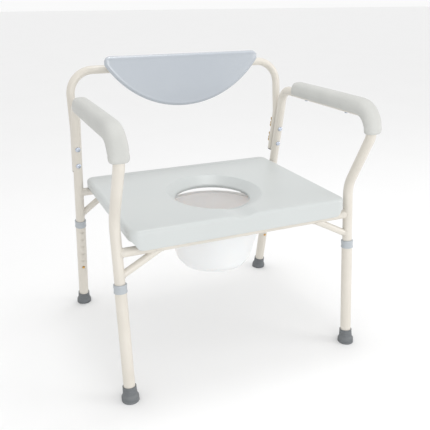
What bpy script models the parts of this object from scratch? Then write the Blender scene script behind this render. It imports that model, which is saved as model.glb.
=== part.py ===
"""Extra-wide commode chair: bent tube side frames on telescopic legs, a clip-on seat, a pail and a back rest.

Metres, +Z up. +X is the right-hand side of a person facing the front of the chair, -Y is the front, and
the origin is on the floor in the middle of the chair's outline. The script clears the scene and builds
every separate piece of the chair as an object of its own, in the collection "commode_chair".
"""

import math

import bmesh
import bpy
from mathutils import Matrix, Vector

# Driving dimensions, side frames (the two frames are alike, one at each side)
SIDE_X = 0.3155             # from the middle plane to the axis of each side frame
FRAME_R = 0.0127            # frame tube, 25.4 mm outside
FRAME_WALL = 0.0014
FRONT_FOOT_Y = -0.2541      # where the front leg's axis meets the floor
FRONT_SLOPE = 0.1075        # the front leg leans back by this much for each metre up
REAR_FOOT_Y = 0.2757
REAR_SLOPE = -0.19725
KNEE_Z = 0.450              # the front tube turns forward here
FORWARD_SLOPE = -0.507      # lean of the front tube above the knee
ARM_Z = 0.651               # axis of the tube under the arm pads
KNEE_BEND = 0.090
ARM_BEND = 0.045

# Legs, collars, feet and snap buttons, measured along the leg from the floor
LEG_R = 0.0143              # leg tube, 28.6 mm outside
LEG_WALL = 0.0012
LEG_START = 0.010
LEG_TOP_Z = 0.296
FRAME_END = 0.118
HOLE_PITCH = 0.0254
HOLE_COUNT = 6
HOLE_R = 0.0045
BUTTON_R = 0.0039
BUTTON_Z = 0.1403
BUTTON_OUT = 0.0168         # top of the button from the leg's axis
STRIP_T = 0.0006
STRIP_HALF = 0.0032         # half the width of the spring strip
STRIP_BEND = 0.034          # from the button up to the fold of the strip
COLLAR_R = 0.0161
COLLAR_SKIRT = 0.017
COLLAR_CAP = 0.004
FOOT_R = 0.0215
FOOT_NECK_R = 0.0168
FOOT_HEIGHT = 0.038

# Crossbars, braces and pail rails
BAR_R = 0.0111
BAR_WALL = 0.0012
BAR_Z = {"front": 0.373, "rear": 0.391}
BRACE_R = 0.0090
BRACE_LOW_Z = 0.316
BRACE_HIGH_X = {"front": 0.205, "rear": 0.222}
RAIL_X = 0.1560
RAIL_LIP = 0.021
RAIL_T = 0.002
RAIL_LOW_Z = 0.370

# Back frame, its bolts and the back panel
BACK_R = 0.0111
BACK_LOW = 0.458            # lower end, measured along the rear upright
BACK_KNEE_Z = 0.5747
BACK_TOP_Y = 0.2035
BACK_TOP_Z = 0.7305
BACK_CORNER = 0.065
BOLT_AT = (0.4890, 0.5387)
BOLT_R = 0.0030
PANEL_HALF = 0.2265
PANEL_TOP = 0.033           # above the axis of the top rail
PANEL_BOTTOM = -0.1105
PANEL_ARC = 0.2731
PANEL_FRONT = -0.030        # front of the panel's middle, ahead of the top rail's axis
PANEL_WRAP = 0.020
PANEL_T = 0.014
SADDLE_X = 0.120

# Seat
SEAT_HALF = 0.290
SEAT_FRONT = -0.2402
SEAT_BACK = 0.2208
SEAT_TOP = 0.428
SEAT_CORNER = 0.024
SEAT_SKIRT_Z = 0.4028
APRON_Z = 0.380
REAR_APRON_Z = 0.399
SEAT_WALL = 0.0080
HOLE_Y = -0.0307
HOLE_HALF_X = 0.102
HOLE_HALF_Y = 0.1065
DISH_Y = -0.0417
DISH_HALF_X = 0.127
DISH_HALF_Y = 0.1475
CHANNEL_HALF = 0.038
CHANNEL_DEPTH = 0.006
CLIP_X = 0.200

# Pail
PAIL_Y = -0.0392
PAIL_RIM_R = 0.150
PAIL_RIM_Z = 0.3775
PAIL_TOP_R = 0.1338
PAIL_BASE_R = 0.100
PAIL_BASE_Z = 0.228
PAIL_WALL = 0.0026

# Arm pads
PAD_REAR_Y = 0.0728
PAD_END_Z = 0.604            # the pad ends here, part way down the front bend
PAD_HALF = 0.0235
PAD_TOP = 0.033
PAD_LOW = 0.003
PAD_NOSE = 0.0205
PAD_SCREW_Y = (0.0173, -0.1727)

SCREW_HOLE_R = 0.0024
SCREW_R = 0.0020
GAP = 0.0003                # between pieces that touch
SIDES = (("left", -1), ("right", 1))
ENDS = ("front", "rear")

MATERIALS = {
    "frame_paint": ((0.80, 0.74, 0.66), 0.35, 0.0),
    "leg_paint": ((0.80, 0.74, 0.66), 0.35, 0.0),
    "collar_plastic": ((0.52, 0.57, 0.63), 0.40, 0.0),
    "foot_rubber": ((0.12, 0.13, 0.14), 0.75, 0.0),
    "button_brass": ((0.70, 0.42, 0.14), 0.30, 1.0),
    "zinc": ((0.62, 0.64, 0.68), 0.30, 1.0),
    "yellow_zinc": ((0.58, 0.44, 0.20), 0.40, 1.0),
    "panel_plastic": ((0.55, 0.59, 0.64), 0.25, 0.0),
    "seat_plastic": ((0.56, 0.59, 0.58), 0.45, 0.0),
    "pail_plastic": ((0.86, 0.86, 0.85), 0.35, 0.0),
    "pad_foam": ((0.62, 0.62, 0.58), 0.65, 0.0),
    "plug_plastic": ((0.20, 0.21, 0.22), 0.55, 0.0),
}


# ---------------------------------------------------------------- scene, materials and plain helpers

def clear_scene():
    """Empty the scene."""
    for thing in list(bpy.data.objects):
        bpy.data.objects.remove(thing, do_unlink=True)


def make_collection(name):
    collection = bpy.data.collections.new(name)
    bpy.context.scene.collection.children.link(collection)
    return collection


def make_material(name):
    """The named finish from the table, made once."""
    colour, roughness, metallic = MATERIALS[name]
    material = bpy.data.materials.get(name) or bpy.data.materials.new(name)
    material.use_nodes = True
    shader = material.node_tree.nodes["Principled BSDF"]
    shader.inputs["Base Color"].default_value = (*colour, 1.0)
    shader.inputs["Roughness"].default_value = roughness
    shader.inputs["Metallic"].default_value = metallic
    material.diffuse_color = (*colour, 1.0)
    return material


def add_object(name, mesh, collection, material=None):
    thing = bpy.data.objects.new(name, mesh)
    collection.objects.link(thing)
    if material:
        mesh.materials.clear()
        mesh.materials.append(make_material(material))
    return thing


def add_cutter(name, mesh):
    """A tool for a Boolean, kept out of the chair's collection."""
    thing = add_object(name, mesh, CUTTERS)
    thing.hide_render = True
    thing.display_type = "WIRE"
    return thing


def smooth(thing, angle=38.0):
    """Shade smooth, with sharp edges above an angle in degrees."""
    thing.data.shade_smooth()
    thing.data.set_sharp_from_angle(angle=math.radians(angle))


def bake(thing):
    """Replace a thing by the mesh that its modifiers give, with its loose caps welded."""
    graph = bpy.context.evaluated_depsgraph_get()
    graph.update()
    mesh = bpy.data.meshes.new_from_object(thing.evaluated_get(graph))
    mesh.transform(thing.matrix_world)
    body = bmesh.new()
    body.from_mesh(mesh)
    bmesh.ops.remove_doubles(body, verts=body.verts, dist=0.00001)
    body.to_mesh(mesh)
    body.free()
    name = thing.name
    collection = thing.users_collection[0]
    materials = [slot.material for slot in thing.material_slots]
    bpy.data.objects.remove(thing, do_unlink=True)
    mesh.materials.clear()
    for material in materials:
        mesh.materials.append(material)
    baked = bpy.data.objects.new(name, mesh)
    collection.objects.link(baked)
    return baked


def boolean(thing, cutter, operation="DIFFERENCE"):
    """Cut one thing from another, or join them."""
    modifier = thing.modifiers.new(operation.lower() + "_" + cutter.name, "BOOLEAN")
    modifier.operation = operation
    modifier.solver = "EXACT"
    modifier.object = cutter


def move_origin(thing, point):
    """Put the origin of a thing at a point, on the axis that it moves about or along."""
    thing.data.transform(Matrix.Translation(-Vector(point)))
    thing.location = point


def rod_mesh(start, end, radius, sides=12, end_radius=None):
    """A closed cylinder, or cone, between two points."""
    start = Vector(start)
    end = Vector(end)
    run = end - start
    body = bmesh.new()
    top = radius if end_radius is None else end_radius
    bmesh.ops.create_cone(body, cap_ends=True, cap_tris=False, segments=sides, radius1=radius,
                          radius2=top, depth=run.length)
    turn = run.to_track_quat("Z", "Y").to_matrix().to_4x4()
    bmesh.ops.transform(body, matrix=Matrix.Translation((start + end) / 2) @ turn, verts=body.verts)
    mesh = bpy.data.meshes.new("rod")
    body.to_mesh(mesh)
    body.free()
    return mesh


def box_mesh(low, high):
    """A closed box between two corners."""
    low = Vector(low)
    high = Vector(high)
    body = bmesh.new()
    bmesh.ops.create_cube(body, size=1.0)
    bmesh.ops.scale(body, vec=high - low, verts=body.verts)
    bmesh.ops.translate(body, vec=(low + high) / 2, verts=body.verts)
    mesh = bpy.data.meshes.new("box")
    body.to_mesh(mesh)
    body.free()
    return mesh


def turned(name, profile, material, steps, start, direction, collection=None, turn=0.0):
    """Turn a profile of (radius, height) points, top to bottom, and stand it at start along direction."""
    mesh = bpy.data.meshes.new(name)
    points = [(radius, 0.0, height) for radius, height in profile]
    mesh.from_pydata(points, [(i, i + 1) for i in range(len(points) - 1)], [])
    thing = add_object(name, mesh, collection or CHAIR, material)
    screw = thing.modifiers.new("turn", "SCREW")
    screw.steps = steps
    screw.render_steps = steps
    screw.use_merge_vertices = True
    screw.merge_threshold = 0.00005
    screw.use_smooth_shade = True
    turn_to = Vector(direction).to_track_quat("Z", "Y").to_matrix().to_4x4()
    thing.matrix_world = Matrix.Translation(start) @ turn_to @ Matrix.Rotation(turn, 4, "Z")
    bpy.context.view_layer.update()
    return thing


# ---------------------------------------------------------------- paths of the bent tubes

def filleted(corners, bends, step=12.0):
    """Points of a path with each inner corner rounded to its bend radius, one about every step degrees."""
    corners = [Vector(c) for c in corners]
    points = [corners[0]]
    for before, corner, after, bend in zip(corners, corners[1:], corners[2:], bends):
        back = (before - corner).normalized()
        ahead = (after - corner).normalized()
        opening = back.angle(ahead)
        turn = math.pi - opening
        middle = corner + (back + ahead).normalized() * (bend / math.sin(opening / 2))
        spoke = corner + back * (bend / math.tan(opening / 2)) - middle
        axis = back.cross(ahead).normalized()
        count = max(2, round(math.degrees(turn) / step))
        for i in range(count + 1):
            points.append(middle + Matrix.Rotation(-turn * i / count, 3, axis) @ spoke)
    points.append(corners[-1])
    return points


def tube(name, points, radius, wall, material, resolution=5):
    """A hollow tube along a path, open at both ends."""
    curve = bpy.data.curves.new(name, "CURVE")
    curve.dimensions = "3D"
    curve.bevel_depth = radius
    curve.bevel_resolution = resolution
    curve.twist_mode = "MINIMUM"
    spline = curve.splines.new("POLY")
    spline.points.add(len(points) - 1)
    for place, point in zip(spline.points, points):
        place.co = (*point, 1.0)
    thing = bpy.data.objects.new(name, curve)
    CHAIR.objects.link(thing)
    curve.materials.append(make_material(material))
    thing = bake(thing)
    solidify = thing.modifiers.new("wall", "SOLIDIFY")
    solidify.thickness = wall
    solidify.offset = -1.0
    solidify.use_even_offset = True
    return bake(thing)


def front_axis(along):
    """A point on the front leg's axis, by its distance from the floor along the leg, at x = 0."""
    up = Vector((0.0, FRONT_SLOPE, 1.0)).normalized()
    return Vector((0.0, FRONT_FOOT_Y, 0.0)) + up * along


def rear_axis(along):
    """The same on the rear leg's axis."""
    up = Vector((0.0, REAR_SLOPE, 1.0)).normalized()
    return Vector((0.0, REAR_FOOT_Y, 0.0)) + up * along


AXES = {"front": (front_axis, FRONT_SLOPE, 1.0), "rear": (rear_axis, REAR_SLOPE, -1.0)}


def leg_frame(end, side):
    """The leg's foot point, its direction up, and the way its buttons face, which is into the chair."""
    axis, slope, facing = AXES[end]
    foot = axis(0.0) + Vector((side * SIDE_X, 0.0, 0.0))
    up = Vector((0.0, slope, 1.0)).normalized()
    out = Vector((0.0, facing, 0.0))
    out = (out - up * out.dot(up)).normalized()
    return foot, up, out


def along_for_height(end, height):
    """How far up along the leg a height above the floor is."""
    slope = AXES[end][1]
    return height * math.sqrt(1.0 + slope * slope)


def upright_back():
    """The direction square to the rear upright, towards the back of the chair."""
    foot, up, out = leg_frame("rear", 1)
    return -out


def side_corners():
    """Corners of a side frame's axis in the Y-Z plane, from the front leg round to the rear leg."""
    knee = Vector((0.0, FRONT_FOOT_Y + FRONT_SLOPE * KNEE_Z, KNEE_Z))
    nose = Vector((0.0, knee.y + FORWARD_SLOPE * (ARM_Z - KNEE_Z), ARM_Z))
    heel = Vector((0.0, REAR_FOOT_Y + REAR_SLOPE * ARM_Z, ARM_Z))
    return [front_axis(FRAME_END), knee, nose, heel, rear_axis(FRAME_END)]


# ---------------------------------------------------------------- frame

def make_side_frame(side_name, side):
    """One bent tube: up from the front leg, over as the arm and down to the rear leg, with its holes."""
    shift = Vector((side * SIDE_X, 0.0, 0.0))
    path = [p + shift for p in filleted(side_corners(), (KNEE_BEND, ARM_BEND, ARM_BEND))]
    frame = tube("side_frame_" + side_name, path, FRAME_R, FRAME_WALL, "frame_paint")
    reach = 0.03
    back = upright_back()
    for along in BOLT_AT:
        middle = rear_axis(along) + shift
        hole = rod_mesh(middle - back * reach, middle + back * reach, BOLT_R + GAP, 8)
        boolean(frame, add_cutter("bolt_hole", hole))
    for end in ENDS:
        foot, up, out = leg_frame(end, side)
        middle = foot + up * along_for_height(end, BUTTON_Z)
        hole = rod_mesh(middle, middle + out * reach, BUTTON_R + GAP, 10)
        boolean(frame, add_cutter("button_hole", hole))
    for y in PAD_SCREW_Y:
        middle = Vector((shift.x, y, ARM_Z))
        hole = rod_mesh(middle - Vector((0, 0, reach)), middle + Vector((0, 0, reach)), SCREW_HOLE_R, 8)
        boolean(frame, add_cutter("pad_screw_hole", hole))
    frame = bake(frame)
    smooth(frame)
    return frame


def make_crossbar(name, y):
    """A level tube between the two side frames, its ends coped to them."""
    end = "front" if y < 0 else "rear"
    points = [Vector((-SIDE_X + 0.004, y, BAR_Z[end])), Vector((SIDE_X - 0.004, y, BAR_Z[end]))]
    bar = tube(name, points, BAR_R, BAR_WALL, "frame_paint", 4)
    for side_name, side in SIDES:
        foot, up, out = leg_frame(end, side)
        cope = rod_mesh(foot + up * 0.30, foot + up * 0.44, FRAME_R + GAP, 16)
        boolean(bar, add_cutter("cope", cope))
    bar = bake(bar)
    smooth(bar)
    return bar


def bar_y(end):
    """Where a crossbar lies, which is on its leg's axis."""
    return AXES[end][0](along_for_height(end, BAR_Z[end])).y


def make_brace(end, side_name, side):
    """A diagonal tube from the upright, just above the leg's collar, up to the crossbar."""
    low = AXES[end][0](along_for_height(end, BRACE_LOW_Z)) + Vector((side * SIDE_X, 0.0, 0.0))
    high = Vector((side * BRACE_HIGH_X[end], bar_y(end), BAR_Z[end]))
    brace = tube("brace_{}_{}".format(end, side_name), [low, high], BRACE_R, BAR_WALL, "frame_paint", 4)
    foot, up, out = leg_frame(end, side)
    upright = rod_mesh(foot + up * 0.25, foot + up * 0.42, FRAME_R + GAP, 16)
    far = Vector((side * 0.05, 0.0, 0.0))
    bar = rod_mesh(high - far, high + far, BAR_R + GAP, 16)
    boolean(brace, add_cutter("cope", upright))
    boolean(brace, add_cutter("cope", bar))
    brace = bake(brace)
    drop_offcuts(brace)
    smooth(brace)
    return brace


def drop_offcuts(thing):
    """Keep the largest connected piece of a mesh, which is the tube between its two copes."""
    body = bmesh.new()
    body.from_mesh(thing.data)
    left = set(body.verts)
    islands = []
    while left:
        stack = [left.pop()]
        island = set(stack)
        while stack:
            vert = stack.pop()
            for edge in vert.link_edges:
                other = edge.other_vert(vert)
                if other in left:
                    left.discard(other)
                    island.add(other)
                    stack.append(other)
        islands.append(island)
    islands.sort(key=len)
    for island in islands[:-1]:
        bmesh.ops.delete(body, geom=list(island), context="VERTS")
    body.to_mesh(thing.data)
    body.free()


def make_pail_rail(side_name, side):
    """An angle rail from the front crossbar to under the rear one: a web outside and a lip for the pail."""
    front = bar_y("front") + BAR_R + GAP
    rear = bar_y("rear") + 0.005
    top = BAR_Z["rear"] - BAR_R - GAP
    section = [(RAIL_X, top), (RAIL_X, RAIL_LOW_Z), (RAIL_X - RAIL_LIP, RAIL_LOW_Z),
               (RAIL_X - RAIL_LIP, RAIL_LOW_Z + RAIL_T), (RAIL_X - RAIL_T, RAIL_LOW_Z + RAIL_T),
               (RAIL_X - RAIL_T, top)]
    body = bmesh.new()
    verts = [body.verts.new((side * x, front, z)) for x, z in section]
    face = body.faces.new(verts)
    grown = bmesh.ops.extrude_face_region(body, geom=[face])
    moved = [g for g in grown["geom"] if isinstance(g, bmesh.types.BMVert)]
    bmesh.ops.translate(body, vec=(0.0, rear - front, 0.0), verts=moved)
    bmesh.ops.recalc_face_normals(body, faces=body.faces)
    mesh = bpy.data.meshes.new("rail")
    body.to_mesh(mesh)
    body.free()
    return add_object("pail_rail_" + side_name, mesh, CHAIR, "frame_paint")


# ---------------------------------------------------------------- legs

def make_leg(end, side_name, side):
    """The outer tube of a leg with its row of holes, its collar and its rubber foot."""
    name = "{}_{}".format(end, side_name)
    foot, up, out = leg_frame(end, side)
    top = along_for_height(end, LEG_TOP_Z)
    button = along_for_height(end, BUTTON_Z)
    leg = tube("leg_" + name, [foot + up * LEG_START, foot + up * top], LEG_R, LEG_WALL, "leg_paint")
    for i in range(HOLE_COUNT):
        middle = foot + up * (button + HOLE_PITCH * i)
        boolean(leg, add_cutter("leg_hole", rod_mesh(middle, middle + out * 0.03, HOLE_R, 10)))
    leg = bake(leg)
    smooth(leg)
    move_origin(leg, foot)

    cap = top + COLLAR_CAP
    low = top - COLLAR_SKIRT
    collar = turned("collar_" + name, [
        (FRAME_R + GAP, cap), (COLLAR_R - 0.0015, cap), (COLLAR_R, cap - 0.0015), (COLLAR_R, low),
        (LEG_R + GAP, low), (LEG_R + GAP, top + GAP), (FRAME_R + GAP, top + GAP), (FRAME_R + GAP, cap)],
        "collar_plastic", 16, foot, up)
    collar = bake(collar)
    smooth(collar)
    move_origin(collar, foot)

    tip = turned("foot_" + name, [
        (0.0, FOOT_HEIGHT), (FOOT_NECK_R - 0.0012, FOOT_HEIGHT), (FOOT_NECK_R, FOOT_HEIGHT - 0.0012),
        (FOOT_NECK_R + 0.0006, 0.020), (FOOT_R - 0.0014, 0.011), (FOOT_R, 0.007), (FOOT_R, -0.006),
        (0.0, -0.006)], "foot_rubber", 16, foot, up)
    socket = turned("socket", [
        (0.0, FOOT_HEIGHT + 0.01), (LEG_R + GAP, FOOT_HEIGHT + 0.01), (LEG_R + GAP, LEG_START - GAP),
        (0.0, LEG_START - GAP)], None, 16, foot, up, CUTTERS)
    socket.hide_render = True
    socket.display_type = "WIRE"
    boolean(tip, socket)
    reach = 0.05
    ground = box_mesh((foot.x - reach, foot.y - reach, -reach), (foot.x + reach, foot.y + reach, 0.0))
    boolean(tip, add_cutter("ground", ground))
    tip = bake(tip)
    smooth(tip)
    move_origin(tip, foot)


def make_snap_button(end, side_name, side):
    """A round button in one piece with the folded spring strip inside the frame tube that pushes it out."""
    foot, up, out = leg_frame(end, side)
    middle = foot + up * along_for_height(end, BUTTON_Z)
    near = 0.0059
    far = -(FRAME_R - FRAME_WALL) * 0.84

    # strip, as (towards the button, along the leg) points from the button round to the far wall
    strip = [(near, -0.007), (near, 0.007), (near * 0.35, STRIP_BEND - 0.004), (near * 0.05, STRIP_BEND),
             (far * 0.30, STRIP_BEND - 0.003), (far, 0.006), (far, -0.004)]
    body = bmesh.new()
    rows = []
    for across in (-STRIP_HALF, STRIP_HALF):
        rows.append([body.verts.new(middle + Vector((across, 0, 0)) + out * o + up * a) for o, a in strip])
    for i in range(len(strip) - 1):
        body.faces.new((rows[0][i], rows[0][i + 1], rows[1][i + 1], rows[1][i]))
    mesh = bpy.data.meshes.new("clip")
    body.to_mesh(mesh)
    body.free()
    name = "snap_button_{}_{}".format(end, side_name)
    clip = add_object(name, mesh, CHAIR, "button_brass")
    solidify = clip.modifiers.new("strip", "SOLIDIFY")
    solidify.thickness = STRIP_T
    solidify.offset = 0.0
    clip = bake(clip)
    head = turned("button", [
        (0.0, BUTTON_OUT), (BUTTON_R * 0.62, BUTTON_OUT - 0.0005), (BUTTON_R, BUTTON_OUT - 0.0020),
        (BUTTON_R * 0.78, near), (0.0, near)], None, 12, middle, out, CUTTERS)
    head.hide_render = True
    head.display_type = "WIRE"
    boolean(clip, head, "UNION")
    clip = bake(clip)
    smooth(clip)
    move_origin(clip, middle)


# ---------------------------------------------------------------- back frame, bolts and panel

def make_back_frame():
    """The hoop behind the rear uprights that carries the back panel, and the plugs in its ends."""
    back = upright_back()
    offset = back * (FRAME_R + BACK_R + GAP)
    low = rear_axis(BACK_LOW) + offset
    up = Vector((0.0, REAR_SLOPE, 1.0)).normalized()
    knee = low + up * ((BACK_KNEE_Z - low.z) / up.z)
    top = Vector((0.0, BACK_TOP_Y, BACK_TOP_Z))
    wide = Vector((SIDE_X, 0.0, 0.0))
    corners = [low - wide, knee - wide, top - wide, top + wide, knee + wide, low + wide]
    path = filleted(corners, (0.08, BACK_CORNER, BACK_CORNER, 0.08), 13.0)
    frame = tube("back_frame", path, BACK_R, BAR_WALL, "frame_paint", 4)
    for side_name, side in SIDES:
        for along in BOLT_AT:
            middle = rear_axis(along) + offset + wide * side
            hole = rod_mesh(middle - back * 0.02, middle + back * 0.02, BOLT_R + GAP, 8)
            boolean(frame, add_cutter("bolt_hole", hole))
        middle = top + Vector((side * SADDLE_X, 0.0, 0.0))
        ahead = rail_ahead()
        hole = rod_mesh(middle - ahead * 0.02, middle + ahead * 0.02, SCREW_HOLE_R, 8)
        boolean(frame, add_cutter("panel_screw_hole", hole))
    frame = bake(frame)
    smooth(frame)
    for side_name, side in SIDES:
        start = low + wide * side
        plug = turned("tube_plug_" + side_name, [
            (0.0, 0.010), (BACK_R - BAR_WALL - GAP, 0.010), (BACK_R - BAR_WALL - GAP, -GAP), (BACK_R, -GAP),
            (BACK_R * 0.85, -0.003), (0.0, -0.003)], "plug_plastic", 12, start, up)
        plug = bake(plug)
        smooth(plug)


def rail_ahead():
    """The way the back panel faces, square to the upper part of the back frame."""
    low = rear_axis(BACK_LOW) + upright_back() * (FRAME_R + BACK_R + GAP)
    up = Vector((0.0, REAR_SLOPE, 1.0)).normalized()
    knee = low + up * ((BACK_KNEE_Z - low.z) / up.z)
    lean = (Vector((0.0, BACK_TOP_Y, BACK_TOP_Z)) - knee).normalized()
    return Vector((0.0, -lean.z, lean.y))


def panel_matrix():
    """Panel space: x across, y to the back and z up along the back frame, from the top rail's axis."""
    ahead = rail_ahead()
    back = -ahead
    up = Vector((1, 0, 0)).cross(back)
    turn = Matrix((Vector((1, 0, 0)), back, up)).transposed().to_4x4()
    return Matrix.Translation((0.0, BACK_TOP_Y, BACK_TOP_Z)) @ turn


def panel_low(x):
    """The panel's lower outline: an arc from side to side."""
    return PANEL_BOTTOM + PANEL_ARC - math.sqrt(PANEL_ARC ** 2 - x * x)


def panel_high(x):
    """The panel's top edge: straight, with rounded corners."""
    corner = 0.016
    over = max(0.0, abs(x) - (PANEL_HALF - corner))
    return PANEL_TOP - corner + math.sqrt(max(0.0, corner ** 2 - over ** 2))


def panel_face(x):
    """How far the panel's front stands ahead of the rail's axis: the sides come forward in a curve."""
    return PANEL_FRONT - PANEL_WRAP * (x / PANEL_HALF) ** 2


def make_back_panel():
    """The curved panel, the saddles between it and the top rail, and their screws."""
    body = bmesh.new()
    bmesh.ops.create_grid(body, x_segments=22, y_segments=5, size=1.0)
    for vert in body.verts:
        across = math.sin(vert.co.x * math.pi / 2 * 0.97) / math.sin(math.pi / 2 * 0.97)
        x = across * PANEL_HALF
        share = (vert.co.y + 1.0) / 2.0
        z = panel_low(x) + (panel_high(x) - panel_low(x)) * share
        vert.co = (x, panel_face(x), z)
    bmesh.ops.recalc_face_normals(body, faces=body.faces)
    if sum(face.normal.y for face in body.faces) > 0:
        bmesh.ops.reverse_faces(body, faces=body.faces)
    mesh = bpy.data.meshes.new("panel")
    body.to_mesh(mesh)
    body.free()
    panel = add_object("back_panel", mesh, CHAIR, "panel_plastic")
    panel.matrix_world = panel_matrix()
    solidify = panel.modifiers.new("thickness", "SOLIDIFY")
    solidify.thickness = PANEL_T
    solidify.offset = -1.0
    bevel = panel.modifiers.new("edge", "BEVEL")
    bevel.width = 0.0045
    bevel.segments = 2
    bevel.limit_method = "ANGLE"
    bevel.angle_limit = math.radians(50)
    bpy.context.view_layer.update()
    panel = bake(panel)
    place = panel_matrix()
    for side_name, side in SIDES:
        x = side * SADDLE_X
        face = panel_face(x)
        hole = rod_mesh(place @ Vector((x, face + 0.006, 0)), place @ Vector((x, 0.02, 0)), SCREW_HOLE_R, 8)
        boolean(panel, add_cutter("panel_screw_hole", hole))
    panel = bake(panel)
    smooth(panel, 50)

    for side_name, side in SIDES:
        x = side * SADDLE_X
        half = 0.011
        start = panel_face(x - side * half) + PANEL_T + 0.0009
        block = box_mesh((x - half, start, -0.013), (x + half, -0.001, 0.013))
        saddle = add_object("panel_saddle_" + side_name, block, CHAIR, "panel_plastic")
        saddle.data.transform(place)
        rail = rod_mesh(place @ Vector((x - 0.03, 0, 0)), place @ Vector((x + 0.03, 0, 0)), BACK_R + GAP, 16)
        boolean(saddle, add_cutter("rail_groove", rail))
        hole = rod_mesh(place @ Vector((x, -0.04, 0)), place @ Vector((x, 0.02, 0)), SCREW_HOLE_R, 8)
        boolean(saddle, add_cutter("panel_screw_hole", hole))
        bake(saddle)
        reach = BACK_R + GAP + 0.0006
        tip = panel_face(x) + 0.0068
        screw = turned("panel_screw_" + side_name, [
            (0.0, 0.0032), (0.0028, 0.0028), (0.0046, 0.0010), (0.0046, 0.0), (SCREW_R, 0.0),
            (SCREW_R, -(reach - tip)), (0.0, -(reach - tip))],
            "zinc", 10, place @ Vector((x, reach, 0)), -rail_ahead())
        screw = bake(screw)
        smooth(screw)


def make_bolts():
    """Two bolts and wing nuts at each side that hold the back frame to the rear uprights."""
    back = upright_back()
    for side_name, side in SIDES:
        for level, along in zip(("lower", "upper"), BOLT_AT):
            middle = rear_axis(along) + Vector((side * SIDE_X, 0.0, 0.0))
            head = FRAME_R + GAP
            tail = FRAME_R + BACK_R * 2 + GAP * 2 + 0.0125
            bolt = turned("back_bolt_{}_{}".format(level, side_name), [
                (0.0, head + 0.0042), (0.0042, head + 0.0034), (0.0068, head + 0.0013), (0.0072, head),
                (BOLT_R, head), (BOLT_R, -tail), (0.0, -tail)], "zinc", 12, middle, -back)
            bolt = bake(bolt)
            smooth(bolt)
            make_wing_nut("wing_nut_{}_{}".format(level, side_name), middle, back)


def make_wing_nut(name, middle, back):
    """A hub on the bolt behind the back frame, with two wings that stand out up and down and lean back."""
    start = middle + back * (FRAME_R + GAP * 2 + BACK_R * 2)
    hub = turned(name, [
        (BOLT_R + GAP, 0.009), (0.0048, 0.009), (0.0060, 0.0), (BOLT_R + GAP, 0.0), (BOLT_R + GAP, 0.009)],
        "yellow_zinc", 12, start, back)
    hub = bake(hub)
    up = Vector((0.0, REAR_SLOPE, 1.0)).normalized()
    side = Vector((1.0, 0.0, 0.0))
    for way in (-1, 1):
        outline = [(0.0042, 0.0010), (0.0125, 0.0080), (0.0150, 0.0150), (0.0118, 0.0178), (0.0085, 0.0150),
                   (0.0042, 0.0085)]
        body = bmesh.new()
        verts = [body.verts.new(start + up * (way * r) + back * h - side * 0.0011) for r, h in outline]
        face = body.faces.new(verts)
        grown = bmesh.ops.extrude_face_region(body, geom=[face])
        moved = [g for g in grown["geom"] if isinstance(g, bmesh.types.BMVert)]
        bmesh.ops.translate(body, vec=side * 0.0022, verts=moved)
        bmesh.ops.recalc_face_normals(body, faces=body.faces)
        mesh = bpy.data.meshes.new("wing")
        body.to_mesh(mesh)
        body.free()
        boolean(hub, add_cutter("wing", mesh), "UNION")
    hub = bake(hub)
    smooth(hub)


# ---------------------------------------------------------------- seat

def rounded_rectangle(inset, count_side, count_end, count_corner):
    """Points round the seat's outline, anticlockwise from the middle of the front edge, moved in by inset."""
    half = SEAT_HALF - inset
    front = SEAT_FRONT + inset
    back = SEAT_BACK - inset
    corner = max(0.004, SEAT_CORNER - inset)
    centres = [(half - corner, front + corner, -90), (half - corner, back - corner, 0),
               (-half + corner, back - corner, 90), (-half + corner, front + corner, 180)]
    stretches = [count_side, count_end, count_side, count_end]
    points = []
    for i, (cx, cy, start) in enumerate(centres):
        for k in range(count_corner + 1):
            angle = math.radians(start + 90 * k / count_corner)
            points.append((cx + corner * math.cos(angle), cy + corner * math.sin(angle)))
        nx, ny, nstart = centres[(i + 1) % 4]
        angle = math.radians(start + 90)
        here = (cx + corner * math.cos(angle), cy + corner * math.sin(angle))
        there = (nx + corner * math.cos(angle), ny + corner * math.sin(angle))
        count = stretches[i]
        for k in range(1, count):
            share = k / count
            points.append((here[0] + (there[0] - here[0]) * share, here[1] + (there[1] - here[1]) * share))
    return points


def oval(outline, middle_y, half_x, half_y):
    """Points on an oval in the same directions from its middle as the points of the outline."""
    points = []
    for x, y in outline:
        angle = math.atan2((y - middle_y) / half_y, x / half_x)
        points.append((half_x * math.cos(angle), middle_y + half_y * math.sin(angle)))
    return points


def channel(x, y):
    """Depth of the shallow channel that runs from the dish to the front edge."""
    if y > DISH_Y:
        return 0.0
    across = min(1.0, abs(x) / CHANNEL_HALF)
    return CHANNEL_DEPTH * (1.0 + math.cos(math.pi * across)) / 2.0


def skirt_low(y):
    """Lower edge of the seat: a deep apron in front, a short one behind and a shallow skirt at the sides."""
    if y < SEAT_FRONT + SEAT_CORNER * 0.1:
        return APRON_Z
    if y > SEAT_BACK - SEAT_CORNER * 0.1:
        return REAR_APRON_Z
    return SEAT_SKIRT_Z


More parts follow.
